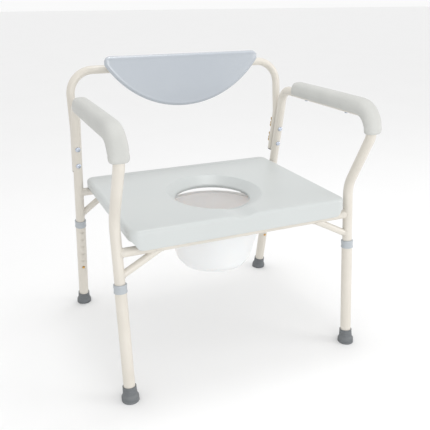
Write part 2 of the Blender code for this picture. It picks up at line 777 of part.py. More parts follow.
def make_seat():
    """A moulded shell: a flat top with a rounded edge, a dished opening and a skirt all round."""
    counts = (8, 14, 4)
    outer = rounded_rectangle(0.0, *counts)
    hole = oval(outer, HOLE_Y, HOLE_HALF_X, HOLE_HALF_Y)
    dish = oval(outer, DISH_Y, DISH_HALF_X, DISH_HALF_Y)
    lip = oval(outer, HOLE_Y, HOLE_HALF_X + 0.006, HOLE_HALF_Y + 0.006)
    under = SEAT_TOP - SEAT_WALL
    half_way = [((a + c) / 2, (b + d) / 2) for (a, b), (c, d) in zip(hole, dish)]
    rings = [
        [(x, y, SEAT_TOP - 0.011) for x, y in outer],
        [(x, y, SEAT_TOP - 0.0032 - channel(x, y) * 0.7) for x, y in rounded_rectangle(0.0032, *counts)],
        [(x, y, SEAT_TOP - channel(x, y)) for x, y in rounded_rectangle(0.011, *counts)],
        [(x, y, SEAT_TOP - channel(x, y)) for x, y in dish],
        [(x, y, SEAT_TOP - 0.0100 - channel(x, y) * 0.5) for x, y in half_way],
        [(x, y, SEAT_TOP - 0.0205) for x, y in hole],
        [(x, y, SEAT_TOP - 0.0300) for x, y in hole],
        [(x, y, SEAT_TOP - 0.0300) for x, y in lip],
        [(x, y, SEAT_TOP - 0.0240) for x, y in lip],
        [(x, y, under - 0.0060) for x, y in dish],
        [(x, y, under - 0.0070) for x, y in rounded_rectangle(0.030, *counts)],
        [(x, y, under - 0.0075) for x, y in rounded_rectangle(SEAT_WALL, *counts)],
        [(x, y, skirt_low(oy)) for (x, y), (ox, oy) in zip(rounded_rectangle(SEAT_WALL, *counts), outer)],
        [(x, y, skirt_low(y)) for x, y in rounded_rectangle(0.0, *counts)],
    ]
    body = bmesh.new()
    loops = [[body.verts.new(point) for point in ring] for ring in rings]
    count = len(outer)
    for ring, following in zip(loops, loops[1:] + loops[:1]):
        for i in range(count):
            j = (i + 1) % count
            body.faces.new((ring[i], ring[j], following[j], following[i]))
    bmesh.ops.recalc_face_normals(body, faces=body.faces)
    mesh = bpy.data.meshes.new("seat")
    body.to_mesh(mesh)
    body.free()
    seat = add_object("seat", mesh, CHAIR, "seat_plastic")
    smooth(seat, 50)
    move_origin(seat, (0.0, bar_y("rear"), BAR_Z["rear"]))
    return seat


def make_seat_clips():
    """Clips under the seat that grip the rear crossbar and saddles that rest on the front one."""
    inner = BAR_R + GAP
    outer = BAR_R + 0.0031
    for end in ENDS:
        y = bar_y(end)
        z = BAR_Z[end]
        for side_name, side in SIDES:
            x = side * CLIP_X
            half = 0.013
            roof = SEAT_TOP - SEAT_WALL - 0.0080 - GAP
            block = box_mesh((x - half, y - outer + 0.004, z), (x + half, y + outer - 0.004, roof))
            clip = add_object("seat_clip_{}_{}".format(end, side_name), block, CHAIR, "collar_plastic")
            ring = rod_mesh((x - half, y, z), (x + half, y, z), outer, 16)
            boolean(clip, add_cutter("clip_ring", ring), "UNION")
            bore = rod_mesh((x - 0.03, y, z), (x + 0.03, y, z), inner, 16)
            boolean(clip, add_cutter("clip_bore", bore))
            mouth_z = z - 0.0045 if end == "rear" else z + 0.002
            mouth = box_mesh((x - 0.03, y - 0.03, mouth_z - 0.03), (x + 0.03, y + 0.03, mouth_z))
            boolean(clip, add_cutter("clip_mouth", mouth))
            clip = bake(clip)
            smooth(clip)
            move_origin(clip, (x, bar_y("rear"), BAR_Z["rear"]))


# ---------------------------------------------------------------- pail

def make_pail():
    """A tapered round pail with a wide flat rim that rests on the rails."""
    rim = PAIL_RIM_Z
    base = PAIL_BASE_Z
    wall = PAIL_WALL
    lip = RAIL_LOW_Z + RAIL_T + GAP
    pail = turned("pail", [
        (0.0, base + wall), (PAIL_BASE_R - 0.014, base + wall), (PAIL_BASE_R - 0.004, base + 0.008),
        (PAIL_TOP_R - wall, rim - 0.004), (PAIL_TOP_R + 0.002, rim), (PAIL_RIM_R - 0.002, rim),
        (PAIL_RIM_R, rim - 0.0015), (PAIL_RIM_R, lip), (PAIL_TOP_R + 0.001, lip),
        (PAIL_BASE_R, base + 0.010), (PAIL_BASE_R - 0.010, base), (0.0, base)],
        "pail_plastic", 32, (0.0, PAIL_Y, 0.0), (0, 0, 1))
    pail = bake(pail)
    smooth(pail)
    move_origin(pail, (0.0, PAIL_Y, rim))
    return pail


# ---------------------------------------------------------------- arm pads

def pad_section(half, top, low):
    """Outline of a pad across the tube: a soft-cornered block with a round channel that sits on the tube."""
    steps = 6
    bore = (FRAME_R + GAP) / math.cos(math.pi / steps / 2)
    outer = [(half, -low), (half, top * 0.50), (half * 0.90, top * 0.80), (half * 0.55, top * 0.97),
             (0.0, top), (-half * 0.55, top * 0.97), (-half * 0.90, top * 0.80), (-half, top * 0.50),
             (-half, -low)]
    inner = [(-bore, -low)]
    for i in range(steps + 1):
        angle = math.pi - math.pi * i / steps
        inner.append((bore * math.cos(angle), bore * math.sin(angle)))
    inner.append((bore, -low))
    return outer + inner


def make_arm_pad(side_name, side):
    """A pad along the arm that thins towards the front and follows the tube's bend down, and its screws."""
    path = filleted(side_corners(), (KNEE_BEND, ARM_BEND, ARM_BEND))
    nose = [p for p in path if p.y < 0.0 and p.z > PAD_END_Z]
    stations = list(nose)
    straight_start = nose[-1].y
    runs = 6
    for i in range(1, runs + 1):
        stations.append(Vector((0.0, straight_start + (PAD_REAR_Y - straight_start) * i / runs, ARM_Z)))
    stations.insert(-1, stations[-1] + Vector((0, -0.006, 0)))
    count = len(stations)
    body = bmesh.new()
    loops = []
    for i, point in enumerate(stations):
        before = stations[max(0, i - 1)]
        after = stations[min(count - 1, i + 1)]
        along = (after - before).normalized()
        out = Vector((0.0, -along.z, along.y))
        share = min(1.0, i / (len(nose) - 1))
        top = PAD_NOSE + (PAD_TOP - PAD_NOSE) * share
        half = PAD_HALF
        if i in (0, count - 1):
            top -= 0.005
            half -= 0.003
        section = pad_section(half, top, PAD_LOW)
        middle = point + Vector((side * SIDE_X, 0.0, 0.0))
        loops.append([body.verts.new(middle + Vector((a, 0, 0)) + out * b) for a, b in section])
    size = len(loops[0])
    for ring, following in zip(loops, loops[1:]):
        for i in range(size):
            j = (i + 1) % size
            body.faces.new((ring[i], ring[j], following[j], following[i]))
    body.faces.new(loops[0])
    body.faces.new(list(reversed(loops[-1])))
    bmesh.ops.recalc_face_normals(body, faces=body.faces)
    mesh = bpy.data.meshes.new("pad")
    body.to_mesh(mesh)
    body.free()
    pad = add_object("arm_pad_" + side_name, mesh, CHAIR, "pad_foam")
    for y in PAD_SCREW_Y:
        middle = Vector((side * SIDE_X, y, ARM_Z))
        hole = rod_mesh(middle, middle + Vector((0, 0, 0.026)), 0.0022, 8)
        boolean(pad, add_cutter("pad_screw_hole", hole))
    pad = bake(pad)
    smooth(pad, 45)
    for place, y in zip(("rear", "front"), PAD_SCREW_Y):
        head = FRAME_R + GAP
        screw = turned("pad_screw_{}_{}".format(place, side_name), [
            (0.0, head + 0.0026), (0.0034, head + 0.0020), (0.0044, head), (0.0018, head), (0.0018, -0.024),
            (0.0, -0.024)], "zinc", 8, (side * SIDE_X, y, ARM_Z), (0, 0, -1))
        screw = bake(screw)
        smooth(screw)


# ---------------------------------------------------------------- build

clear_scene()
CHAIR = make_collection("commode_chair")
CUTTERS = make_collection("cutters")

for name_of_side, side_sign in SIDES:
    make_side_frame(name_of_side, side_sign)
    make_pail_rail(name_of_side, side_sign)
    make_arm_pad(name_of_side, side_sign)
for end_name in ENDS:
    make_crossbar("crossbar_" + end_name, bar_y(end_name))
    for name_of_side, side_sign in SIDES:
        make_brace(end_name, name_of_side, side_sign)
        make_leg(end_name, name_of_side, side_sign)
        make_snap_button(end_name, name_of_side, side_sign)
make_back_frame()
make_back_panel()
make_bolts()
make_seat()
make_seat_clips()
make_pail()
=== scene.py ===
"""Extra-wide commode chair: the visible shapes and finishes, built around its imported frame.

Metres, +Z up, -Y is the front of the chair. Every piece is a surface worked out with numpy in the frame of
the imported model, rides on one of its bodies and stands for one of its nodes.
"""

import logging
import math
from dataclasses import dataclass, field
from enum import Enum
from typing import Callable, Iterable, Sequence

import bmesh
import bpy
import numpy as np
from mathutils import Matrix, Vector


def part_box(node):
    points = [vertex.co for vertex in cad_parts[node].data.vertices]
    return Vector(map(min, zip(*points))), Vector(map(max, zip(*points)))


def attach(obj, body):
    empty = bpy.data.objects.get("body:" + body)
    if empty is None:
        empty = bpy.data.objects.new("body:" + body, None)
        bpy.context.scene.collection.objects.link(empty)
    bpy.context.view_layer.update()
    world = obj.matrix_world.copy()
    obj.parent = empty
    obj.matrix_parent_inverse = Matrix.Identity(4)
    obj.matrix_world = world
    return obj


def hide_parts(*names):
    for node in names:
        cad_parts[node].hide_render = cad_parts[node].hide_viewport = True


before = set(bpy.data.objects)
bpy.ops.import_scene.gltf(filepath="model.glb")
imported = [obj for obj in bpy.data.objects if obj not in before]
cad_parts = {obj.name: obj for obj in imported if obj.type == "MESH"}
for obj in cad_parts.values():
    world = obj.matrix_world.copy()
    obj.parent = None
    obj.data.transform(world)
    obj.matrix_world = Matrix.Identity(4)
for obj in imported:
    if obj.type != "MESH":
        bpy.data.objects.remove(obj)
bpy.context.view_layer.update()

LOG = logging.getLogger("commode_chair")
Array = np.ndarray
X_AXIS = np.array([1.0, 0.0, 0.0])
Y_AXIS = np.array([0.0, 1.0, 0.0])
Z_AXIS = np.array([0.0, 0.0, 1.0])
SLIVER = 0.0003


class Side(Enum):
    """The two sides of the chair, by the sign of x."""

    LEFT = -1
    RIGHT = 1

    @property
    def word(self) -> str:
        """The side's name as the pieces use it."""
        return self.name.lower()


class End(Enum):
    """The front and rear legs, by the way in which their buttons face along Y."""

    FRONT = 1
    REAR = -1

    @property
    def word(self) -> str:
        """The end's name as the pieces use it."""
        return self.name.lower()


# ---------------------------------------------------------------- shapes

def unit(vectors: Array) -> Array:
    """Vectors divided by their lengths.

    Args:
        vectors: One vector, or an array of them along its last axis.
    Returns:
        The same directions with length 1.
    """
    vectors = np.asarray(vectors, float)
    return vectors / np.linalg.norm(vectors, axis=-1, keepdims=True)


def turned_about(vectors: Array, axis: Array, angles: Array) -> Array:
    """Turn vectors about an axis: v cos a + (k x v) sin a + k (k.v)(1 - cos a).

    Args:
        vectors: One vector.
        axis: The unit axis k.
        angles: Angles a in radians, one for each result.
    Returns:
        One turned vector for each angle.
    """
    c, s = np.cos(angles)[:, None], np.sin(angles)[:, None]
    return vectors * c + np.cross(axis, vectors) * s + axis * (axis @ vectors) * (1 - c)


def rounded_path(corners: Sequence[Sequence[float]], bends: Sequence[float], step: float = 4.0) -> Array:
    """A path through corners in which each inner corner is an arc that touches both of its straights.

    Args:
        corners: The corner points, in two or three dimensions.
        bends: The bend radius at each inner corner, 0 for a sharp one.
        step: The angle between arc points, in degrees.
    Returns:
        The points of the path, in three dimensions.
    """
    points = np.array([list(c) + [0.0] * (3 - len(c)) for c in corners], float)
    pieces = [points[:1]]
    for before, corner, after, bend in zip(points, points[1:], points[2:], bends):
        back, ahead = unit(before - corner), unit(after - corner)
        opening = math.acos(float(np.clip(back @ ahead, -1.0, 1.0)))
        turn = math.pi - opening
        if bend <= 0.0 or turn < 1e-4:
            pieces.append(corner[None, :])
            continue
        middle = corner + unit(back + ahead) * (bend / math.sin(opening / 2))
        spoke = corner + back * (bend / math.tan(opening / 2)) - middle
        axis = unit(np.cross(back, ahead))
        count = max(3, round(math.degrees(turn) / step))
        pieces.append(middle + turned_about(spoke, axis, -turn * np.arange(count + 1) / count))
    pieces.append(points[-1:])
    return np.concatenate(pieces)


def with_stations(path: Array, gap: float) -> Array:
    """A path with stations added so that no two are further apart than gap.

    Args:
        path: The points of the path.
        gap: The greatest distance between stations.
    Returns:
        The path with its own points kept.
    """
    lengths = np.linalg.norm(np.diff(path, axis=0), axis=1)
    counts = np.maximum(1, np.ceil(lengths / gap)).astype(int)
    runs = [a + (b - a) * (np.arange(n) / n)[:, None] for a, b, n in zip(path, path[1:], counts)]
    return np.concatenate([*runs, path[-1:]])


def frames_along(path: Array) -> tuple[Array, Array, Array]:
    """Directions along a path, and two square to it that turn no more than the path itself does.

    Args:
        path: The points of the path.
    Returns:
        The unit tangents, and the two unit directions square to them.
    """
    tangents = unit(np.gradient(path, axis=0))
    start = Z_AXIS if abs(tangents[0][2]) < 0.9 else X_AXIS
    across = [unit(np.cross(tangents[0], start))]
    for tangent in tangents[1:]:
        previous = across[-1]
        across.append(unit(previous - tangent * (previous @ tangent)))
    across = np.array(across)
    return tangents, across, np.cross(tangents, across)


def ring_angles(sides: int) -> Array:
    """Equal angles once round, without the last one that meets the first."""
    return np.linspace(0.0, 2.0 * math.pi, sides, endpoint=False)


def tube_grid(path: Array, outer: float, inner: float, sides: int = 40) -> Array:
    """A hollow tube: circles of the outer radius along the path, then of the inner radius on the way back.

    Args:
        path: The axis of the tube.
        outer: The outer radius.
        inner: The inner radius.
        sides: The number of points round it.
    Returns:
        Points of shape (rows, sides, 3), closed in both directions.
    """
    tangents, across, square = frames_along(path)
    angle = ring_angles(sides)
    spokes = across[:, None] * np.cos(angle)[:, None] + square[:, None] * np.sin(angle)[:, None]
    soft = 0.0004
    ends = np.stack([path[0] + tangents[0] * soft, path[-1] - tangents[-1] * soft])
    outside = path[:, None] + spokes * outer
    outside[0] = ends[0] + spokes[0] * outer
    outside[-1] = ends[1] + spokes[-1] * outer
    lip_end = path[-1] + spokes[-1] * (outer - soft)
    lip_start = path[0] + spokes[0] * (outer - soft)
    inside = (path[:, None] + spokes * inner)[::-1]
    return np.concatenate([lip_start[None], outside, lip_end[None], inside])


def lathe_grid(profile: Array, origin: Array, direction: Array, sides: int = 48) -> Array:
    """A turned shape: each (radius, height) of the profile is carried once round the axis.

    Args:
        profile: Points of radius and height.
        origin: Where height 0 is.
        direction: The unit direction of the axis.
        sides: The number of points round it.
    Returns:
        Points of shape (profile points, sides, 3), closed the second way.
    """
    direction = unit(direction)
    across = unit(np.cross(direction, X_AXIS if abs(direction[0]) < 0.9 else Y_AXIS))
    square = np.cross(direction, across)
    angle = ring_angles(sides)
    spokes = across * np.cos(angle)[:, None] + square * np.sin(angle)[:, None]
    return origin + direction * profile[:, 1, None, None] + spokes * profile[:, 0, None, None]


def reach_to_cylinder(points: Array, heading: Array, centre: Array, axis: Array, radius: float) -> Array:
    """How far each point travels along heading to the near wall of a cylinder, from the quadratic for
    |(p + t h - c) x a| = radius.

    Args:
        points: The starting points.
        heading: The unit direction of travel.
        centre: A point on the cylinder's axis.
        axis: The unit direction of that axis.
        radius: The cylinder's radius.
    Returns:
        The distance t for each point.
    """
    off = points - centre
    off = off - axis * (off @ axis)[:, None]
    way = heading - axis * (heading @ axis)
    a, b, c = way @ way, 2.0 * off @ way, np.sum(off * off, axis=1) - radius ** 2
    return (-b - np.sqrt(np.maximum(b * b - 4.0 * a * c, 0.0))) / (2.0 * a)


def grid_faces(rows: int, columns: int, wrap_rows: bool, wrap_columns: bool) -> Array:
    """Quads between neighbouring points of a grid that is numbered row by row."""
    i = np.arange(rows if wrap_rows else rows - 1)[:, None]
    j = np.arange(columns if wrap_columns else columns - 1)[None, :]
    i2, j2 = (i + 1) % rows, (j + 1) % columns
    return np.stack([i * columns + j, i2 * columns + j, i2 * columns + j2, i * columns + j2], -1).reshape(-1, 4)


def mesh_of(name: str, parts: Iterable[tuple[Array, Array]], merge: float = 2e-6) -> bpy.types.Mesh:
    """One mesh from closed surfaces, with its poles and seams merged and its faces turned outwards.

    Args:
        name: The mesh's name.
        parts: Pairs of points (n, 3) and faces (m, 4).
        merge: The distance within which points become one.
    Returns:
        The mesh, shaded smooth with sharp edges above 40 degrees.
    """
    points, faces, start = [], [], 0
    for some_points, some_faces in parts:
        flat = some_points.reshape(-1, 3)
        points.append(flat)
        faces.append(some_faces + start)
        start += len(flat)
    mesh = bpy.data.meshes.new(name)
    mesh.from_pydata(np.concatenate(points).tolist(), [], np.concatenate(faces).tolist())
    body = bmesh.new()
    body.from_mesh(mesh)
    bmesh.ops.remove_doubles(body, verts=body.verts, dist=merge)
    bmesh.ops.dissolve_degenerate(body, edges=body.edges, dist=merge / 2)
    bmesh.ops.recalc_face_normals(body, faces=body.faces)
    body.to_mesh(mesh)
    body.free()
    mesh.shade_smooth()
    mesh.set_sharp_from_angle(angle=math.radians(40.0))
    return mesh


def surface(grid: Array, wrap_rows: bool = False, wrap_columns: bool = True) -> tuple[Array, Array]:
    """A grid of points and the quads between them."""
    return grid, grid_faces(grid.shape[0], grid.shape[1], wrap_rows, wrap_columns)


def extruded(outline: Array, start: Array, along: Array, right: Array, up: Array) -> tuple[Array, Array]:
    """A closed outline carried along a straight, its two ends filled by strips from the outline's first
    half to its second, point k to point n - 1 - k.

    Args:
        outline: Points (right, up) with an even count, in strip order.
        start: Where the outline's origin begins.
        along: The way and distance that it is carried.
        right: The unit direction of the outline's first number.
        up: The unit direction of its second.
    Returns:
        Points and quads of the closed shape.
    """
    flat = start + outline[:, :1] * right + outline[:, 1:] * up
    grid = np.stack([flat, flat + along])
    count = len(outline)
    k = np.arange(count // 2 - 1)
    cap = np.stack([k, k + 1, count - 2 - k, count - 1 - k], -1)
    return grid, np.concatenate([grid_faces(2, count, False, True), cap, cap[:, ::-1] + count])


def smooth_step(values: Array) -> Array:
    """0 below 0, 1 above 1 and t t (3 - 2 t) between."""
    t = np.clip(values, 0.0, 1.0)
    return t * t * (3.0 - 2.0 * t)


# ---------------------------------------------------------------- finishes

class Graph:
    """A hand for laying shader nodes."""

    def __init__(self, tree: bpy.types.NodeTree) -> None:
        """Start on an empty tree.

        Args:
            tree: The node tree to fill.
        """
        self.tree = tree
        self.tree.nodes.clear()

    def add(self, kind: str, sockets: dict | None = None, **settings: object) -> bpy.types.Node:
        """Place a node.

        Args:
            kind: The node's type.
            sockets: Socket name or number to a value, or to an output socket that feeds it.
            settings: Properties of the node itself.
        Returns:
            The node.
        """
        node = self.tree.nodes.new(kind)
        for key, value in settings.items():
            setattr(node, key, value)
        for key, value in (sockets or {}).items():
            if isinstance(value, bpy.types.NodeSocket):
                self.tree.links.new(value, node.inputs[key])
            else:
                node.inputs[key].default_value = value
        return node

    def math(self, operation: str, first: object, second: object = 0.0) -> bpy.types.NodeSocket:
        """A Math node's result."""
        return self.add("ShaderNodeMath", {0: first, 1: second}, operation=operation).outputs[0]

    def spread(self, value: object, low: float, high: float) -> bpy.types.NodeSocket:
        """A value mapped softly from between low and high to between 0 and 1."""
        sockets = {"Value": value, "From Min": low, "From Max": high}
        return self.add("ShaderNodeMapRange", sockets, interpolation_type="SMOOTHSTEP").outputs[0]

    def noise(self, where: object, scale: object, detail: float = 2.0) -> bpy.types.NodeSocket:
        """The value of a noise texture, about 0.5."""
        sockets = {"Vector": where, "Scale": scale, "Detail": detail, "Roughness": 0.55}
        return self.add("ShaderNodeTexNoise", sockets).outputs["Fac"]

    def mix(self, share: object, first: object, second: object) -> bpy.types.NodeSocket:
        """Two colours mixed by a share."""
        node = self.add("ShaderNodeMix", data_type="RGBA")
        for key, value in ((0, share), (6, first), (7, second)):
            if isinstance(value, bpy.types.NodeSocket):
                self.tree.links.new(value, node.inputs[key])
            else:
                node.inputs[key].default_value = value
        return node.outputs[2]


def make_group(name: str, inputs: dict[str, float], outputs: Sequence[str],
               fill: Callable[[Graph, dict], dict]) -> bpy.types.NodeTree:
    """A shader node group with number inputs and outputs, made once.

    Args:
        name: The group's name.
        inputs: Input names and defaults.
        outputs: Output names.
        fill: Lays the nodes: from the graph and the inputs' sockets to the outputs' sockets.
    Returns:
        The group.
    """
    known = bpy.data.node_groups.get(name)
    if known:
        return known
    tree = bpy.data.node_groups.new(name, "ShaderNodeTree")
    for key, value in inputs.items():
        socket = tree.interface.new_socket(key, in_out="INPUT", socket_type="NodeSocketFloat")
        socket.default_value = value
    for key in outputs:
        tree.interface.new_socket(key, in_out="OUTPUT", socket_type="NodeSocketFloat")
    graph = Graph(tree)
    entry = tree.nodes.new("NodeGroupInput")
    leave = tree.nodes.new("NodeGroupOutput")
    found = fill(graph, {key: entry.outputs[key] for key in inputs})
    for key in outputs:
        tree.links.new(found[key], leave.inputs[key])
    return tree


def lay_grain(graph: Graph, given: dict) -> dict:
    """Two noises, fine and finer, for the height, and a broad one that says where the skin varies."""
    where = graph.add("ShaderNodeTexCoord").outputs["Object"]
    fine = graph.noise(where, given["Scale"], 3.0)
    finer = graph.noise(where, graph.math("MULTIPLY", given["Scale"], 3.7), 1.0)
    height = graph.math("ADD", graph.math("MULTIPLY", fine, 0.65), graph.math("MULTIPLY", finer, 0.35))
    return {"Height": height, "Broad": graph.noise(where, given["Broad Scale"], 4.0)}


def lay_pebbles(graph: Graph, given: dict) -> dict:
    """Cells whose borders sink, broken up by noise: the skin of moulded foam; the sunken borders also give the mask
    for painted shade.
    """
    where = graph.add("ShaderNodeTexCoord").outputs["Object"]
    cells = graph.add("ShaderNodeTexVoronoi", {"Vector": where, "Scale": given["Scale"]},
                      feature="DISTANCE_TO_EDGE").outputs["Distance"]
    raised = graph.spread(cells, 0.0, 0.35)
    ripple = graph.noise(where, graph.math("MULTIPLY", given["Scale"], 0.4), 3.0)
    height = graph.math("ADD", graph.math("MULTIPLY", raised, 0.6), graph.math("MULTIPLY", ripple, 0.6))
    return {"Height": height, "Hollows": graph.math("SUBTRACT", 1.0, raised)}


def lay_wear(graph: Graph, given: dict) -> dict:
    """Where edges stand out, from the surface's pointiness, broken up by noise."""
    where = graph.add("ShaderNodeTexCoord").outputs["Object"]
    edge = graph.spread(graph.add("ShaderNodeNewGeometry").outputs["Pointiness"], 0.515, 0.60)
    broken = graph.spread(graph.noise(where, given["Scale"], 5.0), 0.42, 0.66)
    return {"Mask": graph.math("MULTIPLY", graph.math("MULTIPLY", edge, broken), given["Amount"])}


def lay_dust(graph: Graph, given: dict) -> dict:
    """A thin film where the surface looks up, thicker in patches."""
    where = graph.add("ShaderNodeTexCoord").outputs["Object"]
    up = graph.add("ShaderNodeSeparateXYZ", {0: graph.add("ShaderNodeNewGeometry").outputs["Normal"]}).outputs[2]
    patches = graph.spread(graph.noise(where, given["Scale"], 5.0), 0.35, 0.75)
    return {"Mask": graph.math("MULTIPLY", graph.math("MULTIPLY", graph.spread(up, 0.2, 1.0), patches),
                               given["Amount"])}


def lay_scuffs(graph: Graph, given: dict) -> dict:
    """Faint thin marks: noise drawn out along one way and cut to its ridge."""
    where = graph.add("ShaderNodeTexCoord").outputs["Object"]
    drawn = graph.add("ShaderNodeMapping", {"Vector": where, "Scale": (1.0, 9.0, 5.0),
                                            "Rotation": (0.4, 0.3, 0.8)}).outputs[0]
    value = graph.noise(drawn, given["Scale"], 4.0)
    ridge = graph.math("ABSOLUTE", graph.math("SUBTRACT", value, 0.5))
    lines = graph.math("SUBTRACT", 1.0, graph.spread(ridge, 0.0, 0.012))
    patches = graph.spread(graph.noise(where, 9.0, 3.0), 0.5, 0.7)
    return {"Mask": graph.math("MULTIPLY", graph.math("MULTIPLY", lines, patches), given["Amount"])}


class Skin(Enum):
    """The fine relief of a finish."""

    GRAIN = "grain"
    PEBBLES = "pebbles"


@dataclass(frozen=True)
class Finish:
    """A surface finish: its colours, gloss, fine relief with painted shade in its low parts, and signs of use."""

    name: str
    colour: tuple[float, float, float]
    shade: tuple[float, float, float]
    roughness: float = 0.4
    metallic: float = 0.0
    skin: Skin = Skin.GRAIN
    grain_scale: float = 900.0
    grain_depth: float = 0.00004
    broad_scale: float = 9.0
    worn: tuple[float, float, float] = (0.35, 0.34, 0.33)
    wear: float = 0.2
    dust: float = 0.10
    scuffs: float = 0.15
    coat: float = 0.0
    coat_roughness: float = 0.1
    subsurface: float = 0.0
    specular: float = 0.5

    def material(self) -> bpy.types.Material:
        """The finish as a material, made once.

        Returns:
            A material with one Principled shader, its colour, roughness and normal varied over the surface.
        """
        known = bpy.data.materials.get(self.name)
        if known:
            return known
        material = bpy.data.materials.new(self.name)
        material.use_nodes = True
        graph = Graph(material.node_tree)
        grain = self._relief(graph)
        wear = self._mark(graph, "edge wear", lay_wear, {"Scale": 60.0, "Amount": self.wear})
        dust = self._mark(graph, "settled dust", lay_dust, {"Scale": 7.0, "Amount": self.dust})
        scuffs = self._mark(graph, "fine scuffs", lay_scuffs, {"Scale": 26.0, "Amount": self.scuffs})

        base = graph.mix(graph.spread(grain["broad"], 0.34, 0.68), (*self.shade, 1.0), (*self.colour, 1.0))
        # Painted shade: the low parts of the relief are darkened towards the shade colour.
        base = graph.mix(graph.math("MULTIPLY", grain["hollows"], 0.5), base, (*self.shade, 1.0))
        base = graph.mix(wear, base, (*self.worn, 1.0))
        base = graph.mix(dust, base, (0.62, 0.61, 0.58, 1.0))
        rough = graph.math("ADD", self.roughness - 0.05, graph.math("MULTIPLY", grain["broad"], 0.10))
        rough = graph.math("ADD", rough, graph.math("MULTIPLY", dust, 0.5))
        rough = graph.math("ADD", rough, graph.math("MULTIPLY", scuffs, 0.35))
        relief = graph.math("SUBTRACT", grain["height"], graph.math("MULTIPLY", scuffs, 0.6))
        bump = graph.add("ShaderNodeBump", {"Height": relief, "Strength": 1.0, "Distance": self.grain_depth})
        shader = graph.add("ShaderNodeBsdfPrincipled", {
            "Base Color": base, "Roughness": rough, "Normal": bump.outputs["Normal"],
            "Metallic": self.metallic, "Coat Weight": self.coat, "Coat Roughness": self.coat_roughness,
            "Subsurface Weight": self.subsurface, "Subsurface Scale": 0.02,
            "Subsurface Radius": (1.0, 0.85, 0.78), "Specular IOR Level": self.specular})
        graph.add("ShaderNodeOutputMaterial", {"Surface": shader.outputs[0]})
        material.diffuse_color = (*self.colour, 1.0)
        return material

    def _relief(self, graph: Graph) -> dict[str, bpy.types.NodeSocket]:
        """The sockets for the fine height, the painted shade in the low parts of the relief, and the broad variation.
        """
        grain = graph.add("ShaderNodeGroup", node_tree=make_group(
            "skin grain", {"Scale": 900.0, "Broad Scale": 9.0}, ("Height", "Broad"), lay_grain))
        grain.inputs["Scale"].default_value = self.grain_scale
        grain.inputs["Broad Scale"].default_value = self.broad_scale
        height, broad = grain.outputs["Height"], grain.outputs["Broad"]
        # Painted shade: the low parts of the grain are marked for a darker colour.
        hollows = graph.spread(height, 0.62, 0.30)
        if self.skin is Skin.PEBBLES:
            pebbles = graph.add("ShaderNodeGroup", node_tree=make_group(
                "foam pebbles", {"Scale": 500.0}, ("Height", "Hollows"), lay_pebbles))
            pebbles.inputs["Scale"].default_value = self.grain_scale
            height, hollows = pebbles.outputs["Height"], pebbles.outputs["Hollows"]
        return {"height": height, "broad": broad, "hollows": hollows}

    def _mark(self, graph: Graph, name: str, lay: Callable[[Graph, dict], dict],
              values: dict[str, float]) -> bpy.types.NodeSocket:
        """The mask of one sign of use.

        Args:
            graph: The material's graph.
            name: The group's name.
            lay: What lays the group's nodes.
            values: The group's input values here.
        Returns:
            The mask's socket.
        """
        node = graph.add("ShaderNodeGroup", node_tree=make_group(name, values, ("Mask",), lay))
        for key, value in values.items():
            node.inputs[key].default_value = value
        return node.outputs["Mask"]


FINISHES: dict[str, Finish] = {
    "frame_paint": Finish("warm white powder coat", (0.665, 0.630, 0.568), (0.625, 0.590, 0.528), 0.34,
                          grain_scale=650.0, grain_depth=0.00007, wear=0.25, coat=0.25, coat_roughness=0.22),
    "leg_paint": Finish("warm white powder coat on legs", (0.665, 0.630, 0.568), (0.62, 0.585, 0.522), 0.36,
                        grain_scale=650.0, grain_depth=0.00007, wear=0.35, scuffs=0.30, coat=0.2,
                        coat_roughness=0.25),
    "collar_plastic": Finish("pale blue-grey nylon", (0.44, 0.470, 0.495), (0.41, 0.440, 0.465), 0.42,
                             grain_scale=1100.0, wear=0.15),
    "foot_rubber": Finish("dark grey rubber", (0.165, 0.176, 0.184), (0.130, 0.140, 0.148), 0.56,
                          grain_scale=1300.0, grain_depth=0.00010, worn=(0.22, 0.23, 0.24), wear=0.6,
                          dust=0.25, scuffs=0.4, specular=0.35),
    "button_brass": Finish("yellow brass", (0.78, 0.47, 0.16), (0.62, 0.35, 0.10), 0.28, 1.0,
                           grain_depth=0.00002, worn=(0.85, 0.66, 0.36), wear=0.6, dust=0.0),
    "zinc": Finish("bright zinc plate", (0.66, 0.70, 0.78), (0.50, 0.55, 0.64), 0.26, 1.0,
                   grain_scale=1500.0, grain_depth=0.00002, broad_scale=220.0, worn=(0.8, 0.8, 0.8), dust=0.0),
    "yellow_zinc": Finish("yellow passivated zinc", (0.60, 0.44, 0.22), (0.42, 0.30, 0.16), 0.34, 1.0,
                          grain_scale=1200.0, broad_scale=160.0, worn=(0.66, 0.62, 0.54), wear=0.6, dust=0.0),
    "panel_plastic": Finish("glossy blue-grey shell", (0.430, 0.462, 0.500), (0.405, 0.437, 0.478), 0.24,
                            grain_scale=500.0, grain_depth=0.00002, broad_scale=4.0, wear=0.1, scuffs=0.25,
                            coat=0.6, coat_roughness=0.16),
    "seat_plastic": Finish("light grey moulded seat", (0.560, 0.585, 0.580), (0.540, 0.565, 0.560), 0.38,
                           grain_scale=1400.0, grain_depth=0.00006, broad_scale=3.5, worn=(0.68, 0.70, 0.70),
                           wear=0.25, scuffs=0.25, coat=0.12, coat_roughness=0.30),
    "pail_plastic": Finish("translucent white pail", (0.84, 0.83, 0.825), (0.81, 0.80, 0.795), 0.34,
                           grain_scale=700.0, grain_depth=0.00003, broad_scale=5.0, wear=0.05, dust=0.03,
                           subsurface=1.0, coat=0.1),
    "pad_foam": Finish("grey moulded foam skin", (0.560, 0.563, 0.540), (0.520, 0.524, 0.502), 0.56,
                       skin=Skin.PEBBLES, grain_scale=620.0, grain_depth=0.00016, broad_scale=11.0,
                       worn=(0.66, 0.66, 0.63), wear=0.2, dust=0.05, specular=0.4),
    "plug_plastic": Finish("dark grey plug", (0.10, 0.105, 0.11), (0.075, 0.08, 0.085), 0.5, wear=0.3),
}


